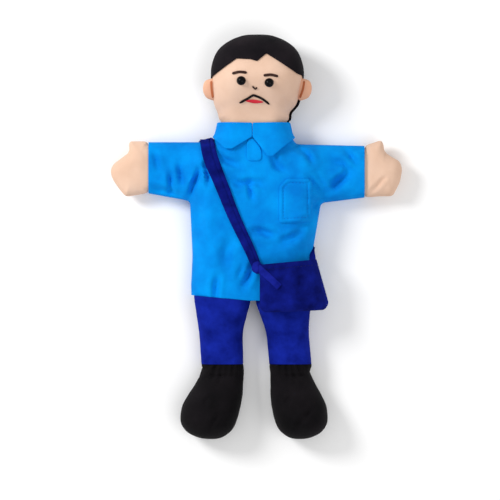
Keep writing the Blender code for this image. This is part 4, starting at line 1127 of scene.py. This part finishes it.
def make_ears(forms):
    def seam(x, y):
        return forms["head"].seam(x, y) + GAP + EAR_THICKNESS / 2

    for side, label in SIDES:
        root_x = HEAD_X + side * (HEAD_WIDTH / 2 - EAR_ROOT)
        end_x = HEAD_X + side * (HEAD_WIDTH / 2 + EAR_REACH)
        half = EAR_HEIGHT / 2
        points = [(mix(root_x, end_x, out), EAR_Y + up * half) for out, up in EAR_SHAPE]
        swell = EAR_THICKNESS / 2
        form = Form(smooth_loop(points, EAR_STEP), seam, swell, swell, EAR_RIM, step=EAR_STEP)
        ear = add_piece("ear_cloth_" + label, new_shape(*form.mesh()), "ear_cotton", ("ear_" + label,))
        line = [(x, EAR_Y + up * half) for x, up in zip(EAR_CREASE_X[side > 0], EAR_CREASE_Y)]
        crease = patch(form, stitch(line, EAR_CREASE_WIDTH), 0.0002, 0.0004, 0.0006)
        add_piece("ear_crease_" + label, crease, "crease_thread")


def make_eyes(forms):
    for side, label in SIDES:
        x = FACE_X + side * EYE_SPACING / 2
        y = EYE_Y - side * EYE_TILT
        z = float(forms["head"].height(np.array([(x, y)]))[0])
        shape = bmesh.new()
        bmesh.ops.create_uvsphere(shape, u_segments=36, v_segments=18, radius=EYE_SIZE / 2)
        bmesh.ops.translate(shape, vec=(x, y, z + EYE_STAND), verts=shape.verts)
        cut_open(shape, (0.0, 0.0, z - EYE_FOOT), (0.0, 0.0, -1.0), close=True)
        add_piece("eye_bead_" + label, shape, "eye_bead", ("eye_" + label,))


def make_face(forms):
    def sew(outline, step, name, cloth, node):
        add_piece(name, patch(forms["head"], outline, GAP, THREAD, step), cloth, (node,))

    for side, label in SIDES:
        x = FACE_X + side * BROW_SPACING / 2
        y = BROW_Y - side * BROW_TILT
        reach = side * BROW_LENGTH / 2
        points = ((x - reach, y), (x, y + BROW_RISE), (x + reach, y - BROW_RISE))
        sew(stitch(points, BROW_WIDTH), FACE_STEP, "brow_thread_" + label, "brow_thread", "brow_" + label)

    x = FACE_X
    points = ((x - NOSE_SIZE, NOSE_Y + NOSE_SIZE), (x, NOSE_Y), (x + 0.7 * NOSE_SIZE, NOSE_Y + 0.6 * NOSE_SIZE))
    sew(stitch(points, NOSE_WIDTH), 0.0006, "nose_thread", "brow_thread", "nose")

    x = FACE_X + LIP_SHIFT
    half = MOUSTACHE_SPAN / 2
    points = [(x + out * half, MOUSTACHE_Y - down * MOUSTACHE_DROP - droop) for out, down, droop in MOUSTACHE]
    sew(stitch(points, MOUSTACHE_WIDTH), FACE_STEP, "moustache_thread", "black_thread", "moustache")

    half, tall = MOUTH_WIDTH / 2, MOUTH_HEIGHT / 2
    points = ((x - half, MOUTH_Y + MOUTH_TILT), (x, MOUTH_Y - tall), (x + half, MOUTH_Y - MOUTH_TILT),
              (x, MOUTH_Y + tall))
    sew(smooth_loop(points, THREAD_STEP), FACE_STEP, "mouth_cloth", "mouth_cloth", "mouth")


def make_hands(forms):
    for side, label in SIDES:
        wrist = side * (SLEEVE_SPAN / 2 - WRIST_TUCK)
        shape = cut_open(new_shape(*forms["hand_" + label].mesh()), (wrist, 0.0, 0.0), (-side, 0.0, 0.0))
        hand = add_piece("hand_cloth_" + label, shape, "skin_cotton", ("hand_" + label,))
        settle(hand, lambda rest, side=side: rest[:, 0] * side < SLEEVE_SPAN / 2 + HAND_HELD, HAND_SETTLE)
        lining(hand, CLOTH)


def make_legs_and_shoes(forms):
    for _, label in SIDES:
        shape = cut_open(new_shape(*forms["leg_" + label].mesh()), (0.0, HEM_Y - LEG_GAP, 0.0), UP, True)
        cut_open(shape, (0.0, ANKLE_Y, 0.0), DOWN, True)
        slant_hem(shape, -HEM_BLEND)
        leg = add_piece("trouser_cloth_" + label, shape, "trouser_velour", ("trouser_leg_" + label,))
        settle(leg, lambda rest: (rest[:, 1] > HEM_Y - SEAM_HELD) | (rest[:, 1] < ANKLE_Y + ANKLE_HELD),
               STUFFED_SETTLE, 0.0)
        shape = cut_open(new_shape(*forms["shoe_" + label].mesh()), (0.0, ANKLE_Y - GAP, 0.0), UP, True)
        shoe = add_piece("shoe_cloth_" + label, shape, "shoe_cotton", ("shoe_" + label,))
        settle(shoe, lambda rest: rest[:, 1] > ANKLE_Y - SEAM_HELD, STUFFED_SETTLE, 0.0)


def make_bag(forms):
    left, right = BAG_LEFT_X, BAG_LEFT_X + BAG_WIDTH - BAG_SPREAD
    across = Vector((-BAG_TOP_SLANT, right - left, 0.0)).normalized()
    shape = cut_open(new_shape(*forms["bag"].mesh()), (right, BAG_TOP_Y, 0.0), across)
    bag = add_piece("bag_cloth", shape, "bag_velour", ("bag",))
    lining(bag, CLOTH)
    path = smooth_path(((left + 0.002, BAG_TOP_Y - BAG_TOP_SLANT - BAG_HEM), (right, BAG_TOP_Y - BAG_HEM)), 0.0010)
    add_piece("bag_stitches", sewing_line(forms["bag"], path, 0.0), "bag_thread")


def strap_rows(form, path, end_width, columns, to_edge):
    """Rows of places across the strap. Each column starts on the form's outline, and ends there if to_edge."""
    fine = np.array([tuple(point) for point in smooth_path(path, STRAP_STEP)])
    ahead = np.gradient(fine, axis=0)
    ahead /= np.linalg.norm(ahead, axis=1)[:, None]
    across = np.stack((-ahead[:, 1], ahead[:, 0]), axis=1)
    shares = np.linspace(0.0, 1.0, len(fine))
    widths = mix(STRAP_WIDTH, end_width, shares)
    turn = np.linspace(0.0, 1.0, STRAP_ROWS)
    closeness = 0.5 - 0.5 * np.cos(math.pi * turn) if to_edge else turn ** 2
    lines = []
    for column in columns:
        line = fine + across * (widths * column / 2)[:, None]
        within = np.flatnonzero(inside(form.outline, line))
        first = shares[within[0]]
        last = shares[within[-1]] if to_edge else 1.0
        along = first + (last - first) * closeness
        lines.append(np.column_stack([np.interp(along, shares, line[:, k]) for k in (0, 1)]))
    return np.stack(lines, axis=1)


def make_strap(forms):
    form = forms["calm_shirt"]
    columns, profile = np.array(STRAP_SECTION).T
    front = strap_rows(form, STRAP_FRONT, STRAP_END_WIDTH, columns, False)
    back = strap_rows(form, STRAP_BACK, STRAP_WIDTH, columns[::-1], True)
    sections = []
    for rows, side in ((front[::-1], 1), (back, -1)):
        for row in rows:
            top = form.place(row, STRAP_LIFT * (side > 0) + GAP + STRAP_CLOTH * profile, side)
            bottom = form.place(row, GAP + STRAP_CLOTH * (1.0 - np.minimum(profile, 1.0)) * 0.9, side)
            sections.append(np.concatenate([top, bottom[1:-1][::-1]]))
    shape = join_rings(bmesh.new(), sections)
    bmesh.ops.remove_doubles(shape, verts=shape.verts, dist=1e-6)
    bmesh.ops.recalc_face_normals(shape, faces=shape.faces)
    strap = add_piece("strap_cloth", shape, "bag_velour", ("bag_strap",))

    centre_x, centre_y = STRAP_FRONT[-1]
    centre_z = float(form.height(np.array([STRAP_FRONT[-1]]))[0]) + GAP + STRAP_CLOTH + KNOT_SIZE[2] * KNOT_RISE
    shape = bmesh.new()
    bmesh.ops.create_icosphere(shape, subdivisions=4, radius=0.5)
    for vert in shape.verts:
        x, y, z = vert.co
        turn = math.atan2(z, x)
        wrap = 1.0 + 0.07 * math.sin(3.0 * turn + 9.0 * y) + 0.04 * noise.noise(vert.co * 5.0)
        vert.co = (
            centre_x + x * KNOT_SIZE[0] * wrap,
            centre_y + y * KNOT_SIZE[1] * wrap,
            centre_z + z * KNOT_SIZE[2] * wrap,
        )
    # The knot wears the lighter copy of the bag's velour, which is painted light
    knot = add_piece("strap_knot", shape, "bag_velour_lit")

    left, right = both_sides(smooth_path(STRAP_TAIL, STRAP_STEP), TAIL_WIDTH)
    outline = round_corners(left[2:] + right[:1:-1], 0.0010, 0.0010)
    outline = [point for point in outline if point[1] < BAG_TOP_Y - 0.0005]
    # The tail also wears the lighter copy of the velour, which is painted light
    tail = add_piece("strap_tail", patch(forms["bag"], outline, GAP, TRIM_CLOTH), "bag_velour_lit")

    start, end = (np.array(place) for place in SIDE_BAND)
    turn = np.linspace(0.0, math.tau, 16, endpoint=False)
    flat_x = np.abs(np.cos(turn)) ** 0.4 * np.sign(np.cos(turn))
    flat_z = np.abs(np.sin(turn)) ** 0.6 * np.sign(np.sin(turn))
    sections = []
    for share in np.linspace(0.0, 1.0, 14):
        centre = mix(start, end, share) + (0.0, 0.0, SIDE_BAND_BOW * math.sin(math.pi * share))
        reach = mix(*SIDE_BAND_WIDTH, share) / 2
        sections.append([centre + (reach * a, 0.0, STRAP_CLOTH * 0.5 * b) for a, b in zip(flat_x, flat_z)])
    shape = join_rings(bmesh.new(), sections)
    bmesh.ops.recalc_face_normals(shape, faces=shape.faces)
    band = add_piece("strap_side", shape, "bag_velour")


# Materials

def rgb(red, green, blue):
    """Linear colour from the 0 to 255 values of a picture."""
    def linear(value):
        value /= 255.0
        return value / 12.92 if value <= 0.04045 else ((value + 0.055) / 1.055) ** 2.4
    return (linear(red), linear(green), linear(blue), 1.0)


def add_node(tree, kind, values, sources):
    """A node of a tree, with plain values and other nodes' outputs at its inputs."""
    made = tree.nodes.new(kind)
    for name, value in values.items():
        made.inputs[name].default_value = value
    for name, source in sources.items():
        tree.links.new(source, made.inputs[name])
    return made


def new_group(name, *entries):
    """A node group that puts out height and tone, with its place on the object."""
    group = bpy.data.node_groups.new(name, "ShaderNodeTree")
    for entry in entries:
        group.interface.new_socket(entry, in_out="INPUT", socket_type="NodeSocketFloat")
    for result in ("Height", "Tone"):
        group.interface.new_socket(result, in_out="OUTPUT", socket_type="NodeSocketFloat")
    return group, group.nodes.new("ShaderNodeTexCoord").outputs["Object"]


def weave_group():
    """Height and tone of a plain weave. Its pitch is in metres."""
    group, place = new_group("weave", "Pitch")
    pitch = group.nodes.new("NodeGroupInput").outputs["Pitch"]
    scale = add_node(group, "ShaderNodeMath", {0: math.tau / 20.0}, {1: pitch})
    scale.operation = "DIVIDE"
    waves = {}
    for index, direction in enumerate(("X", "Y")):
        wave = add_node(group, "ShaderNodeTexWave", {"Distortion": 1.2, "Detail": 1.0},
                        {"Vector": place, "Scale": scale.outputs[0]})
        wave.bands_direction = direction
        waves[index] = wave.outputs["Fac"]
    threads = add_node(group, "ShaderNodeMath", {}, waves)
    threads.operation = "MAXIMUM"
    cloud = add_node(group, "ShaderNodeTexNoise", {"Scale": 38.0, "Detail": 4.0, "Roughness": 0.55},
                     {"Vector": place})
    add_node(group, "NodeGroupOutput", {}, {"Height": threads.outputs[0], "Tone": cloud.outputs["Fac"]})
    return group


def nap_group():
    """Height and tone of a short pile that lies in patches."""
    group, place = new_group("nap")
    pile = add_node(group, "ShaderNodeTexNoise", {"Scale": 1500.0, "Detail": 2.0}, {"Vector": place})
    lie = add_node(group, "ShaderNodeTexNoise", {"Scale": 70.0, "Detail": 5.0, "Roughness": 0.6}, {"Vector": place})
    add_node(group, "NodeGroupOutput", {}, {"Height": pile.outputs["Fac"], "Tone": lie.outputs["Fac"]})
    return group


def new_material(name, values):
    """A material, its node tree and its shader, with plain values at the shader's inputs."""
    material = bpy.data.materials.new(name)
    material.use_nodes = True
    shader = material.node_tree.nodes["Principled BSDF"]
    for socket, value in values.items():
        shader.inputs[socket].default_value = value
    return material, material.node_tree, shader


def cloth_material(name, group, light, dark, roughness, sheen, tint, pitch):
    """Cloth whose colour wanders between light and dark, with its threads as bump."""
    material, tree, shader = new_material(name, {
        "Roughness": roughness, "Specular IOR Level": 0.06,
        "Sheen Weight": sheen, "Sheen Roughness": 0.45, "Sheen Tint": rgb(*tint),
    })
    texture = tree.nodes.new("ShaderNodeGroup")
    texture.node_tree = group
    if pitch:
        texture.inputs["Pitch"].default_value = pitch
    ramp = add_node(tree, "ShaderNodeValToRGB", {}, {"Fac": texture.outputs["Tone"]})
    for index, (position, colour) in enumerate(((0.30, dark), (0.70, light))):
        ramp.color_ramp.elements[index].position = position
        ramp.color_ramp.elements[index].color = rgb(*colour)
    bump = {"Strength": 0.6, "Distance": WEAVE_BUMP if pitch else NAP_BUMP}
    relief = add_node(tree, "ShaderNodeBump", bump, {"Height": texture.outputs["Height"]})
    tree.links.new(ramp.outputs["Color"], shader.inputs["Base Color"])
    tree.links.new(relief.outputs["Normal"], shader.inputs["Normal"])
    return material


def bead_material():
    material, tree, shader = new_material("eye_bead", {"Base Color": rgb(6, 6, 8), "Specular IOR Level": 0.10})
    smears = add_node(tree, "ShaderNodeTexNoise", {"Scale": 400.0}, {})
    reach = add_node(tree, "ShaderNodeMapRange", {"To Min": 0.08, "To Max": 0.20}, {"Value": smears.outputs["Fac"]})
    tree.links.new(reach.outputs["Result"], shader.inputs["Roughness"])
    return material


def make_materials():
    weave, nap = weave_group(), nap_group()
    made = {"eye_bead": bead_material()}
    for name, settings in CLOTHS.items():
        made[name] = cloth_material(name, weave if settings[-1] else nap, *settings)
    return made


def paint(node, cloth):
    """Give a carried-over CAD node its finished material."""
    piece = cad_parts[node]
    piece.data.materials.clear()
    piece.data.materials.append(materials[cloth])


# Floor, light and camera

def make_floor():
    shape = bmesh.new()
    bmesh.ops.create_grid(shape, x_segments=1, y_segments=1, size=3.0)
    mesh = new_mesh("floor", shape)
    floor = new_object("floor", mesh)
    floor.location.z = -0.0002
    mesh.materials.append(new_material("floor_paper", {"Base Color": (0.98, 0.98, 0.98, 1.0), "Roughness": 0.9})[0])


def add_light(name, place, size, power):
    lamp = bpy.data.lights.new(name, "AREA")
    lamp.shape = "DISK"
    lamp.size = size
    lamp.energy = power
    holder = new_object(name, lamp)
    holder.location = place
    holder.rotation_euler = (Vector(LIGHT_AIM) - Vector(place)).to_track_quat("-Z", "Y").to_euler()


def light_scene():
    """White light from all round, two lamps, and a plain white background."""
    world = bpy.data.worlds.new("studio")
    bpy.context.scene.world = world
    world.use_nodes = True
    tree = world.node_tree
    white = (1.0, 1.0, 1.0, 1.0)
    lit = tree.nodes["Background"]
    lit.inputs["Color"].default_value = white
    lit.inputs["Strength"].default_value = WORLD_LIGHT
    seen = add_node(tree, "ShaderNodeBackground", {"Color": white, "Strength": 1.0}, {})
    path = tree.nodes.new("ShaderNodeLightPath")
    blend = add_node(tree, "ShaderNodeMixShader", {}, {
        "Fac": path.outputs["Is Camera Ray"], 1: lit.outputs["Background"], 2: seen.outputs["Background"],
    })
    tree.links.new(blend.outputs["Shader"], tree.nodes["World Output"].inputs["Surface"])
    for light in LIGHTS:
        add_light(*light)


def aim_camera():
    lens = bpy.data.cameras.new("camera")
    lens.lens = VIEW_LENS
    lens.sensor_width = SENSOR
    camera = new_object("camera", lens)
    middle_z = (cad_low.z + cad_high.z) / 2
    camera.location = (*VIEW_CENTRE, middle_z + VIEW_WIDTH * VIEW_LENS / SENSOR)
    bpy.context.scene.camera = camera


materials = make_materials()
plans = make_forms()
for make in (make_shirt, make_collar, make_neck_tab, make_pocket, make_head, make_hair, make_ears, make_eyes,
             make_face, make_hands, make_legs_and_shoes, make_bag, make_strap):
    make(plans)
paint("finger_sleeve", "skin_cotton")
paint("collar_band", "shirt_cotton")
make_floor()
light_scene()
aim_camera()
bpy.context.scene.view_settings.view_transform = "Standard"
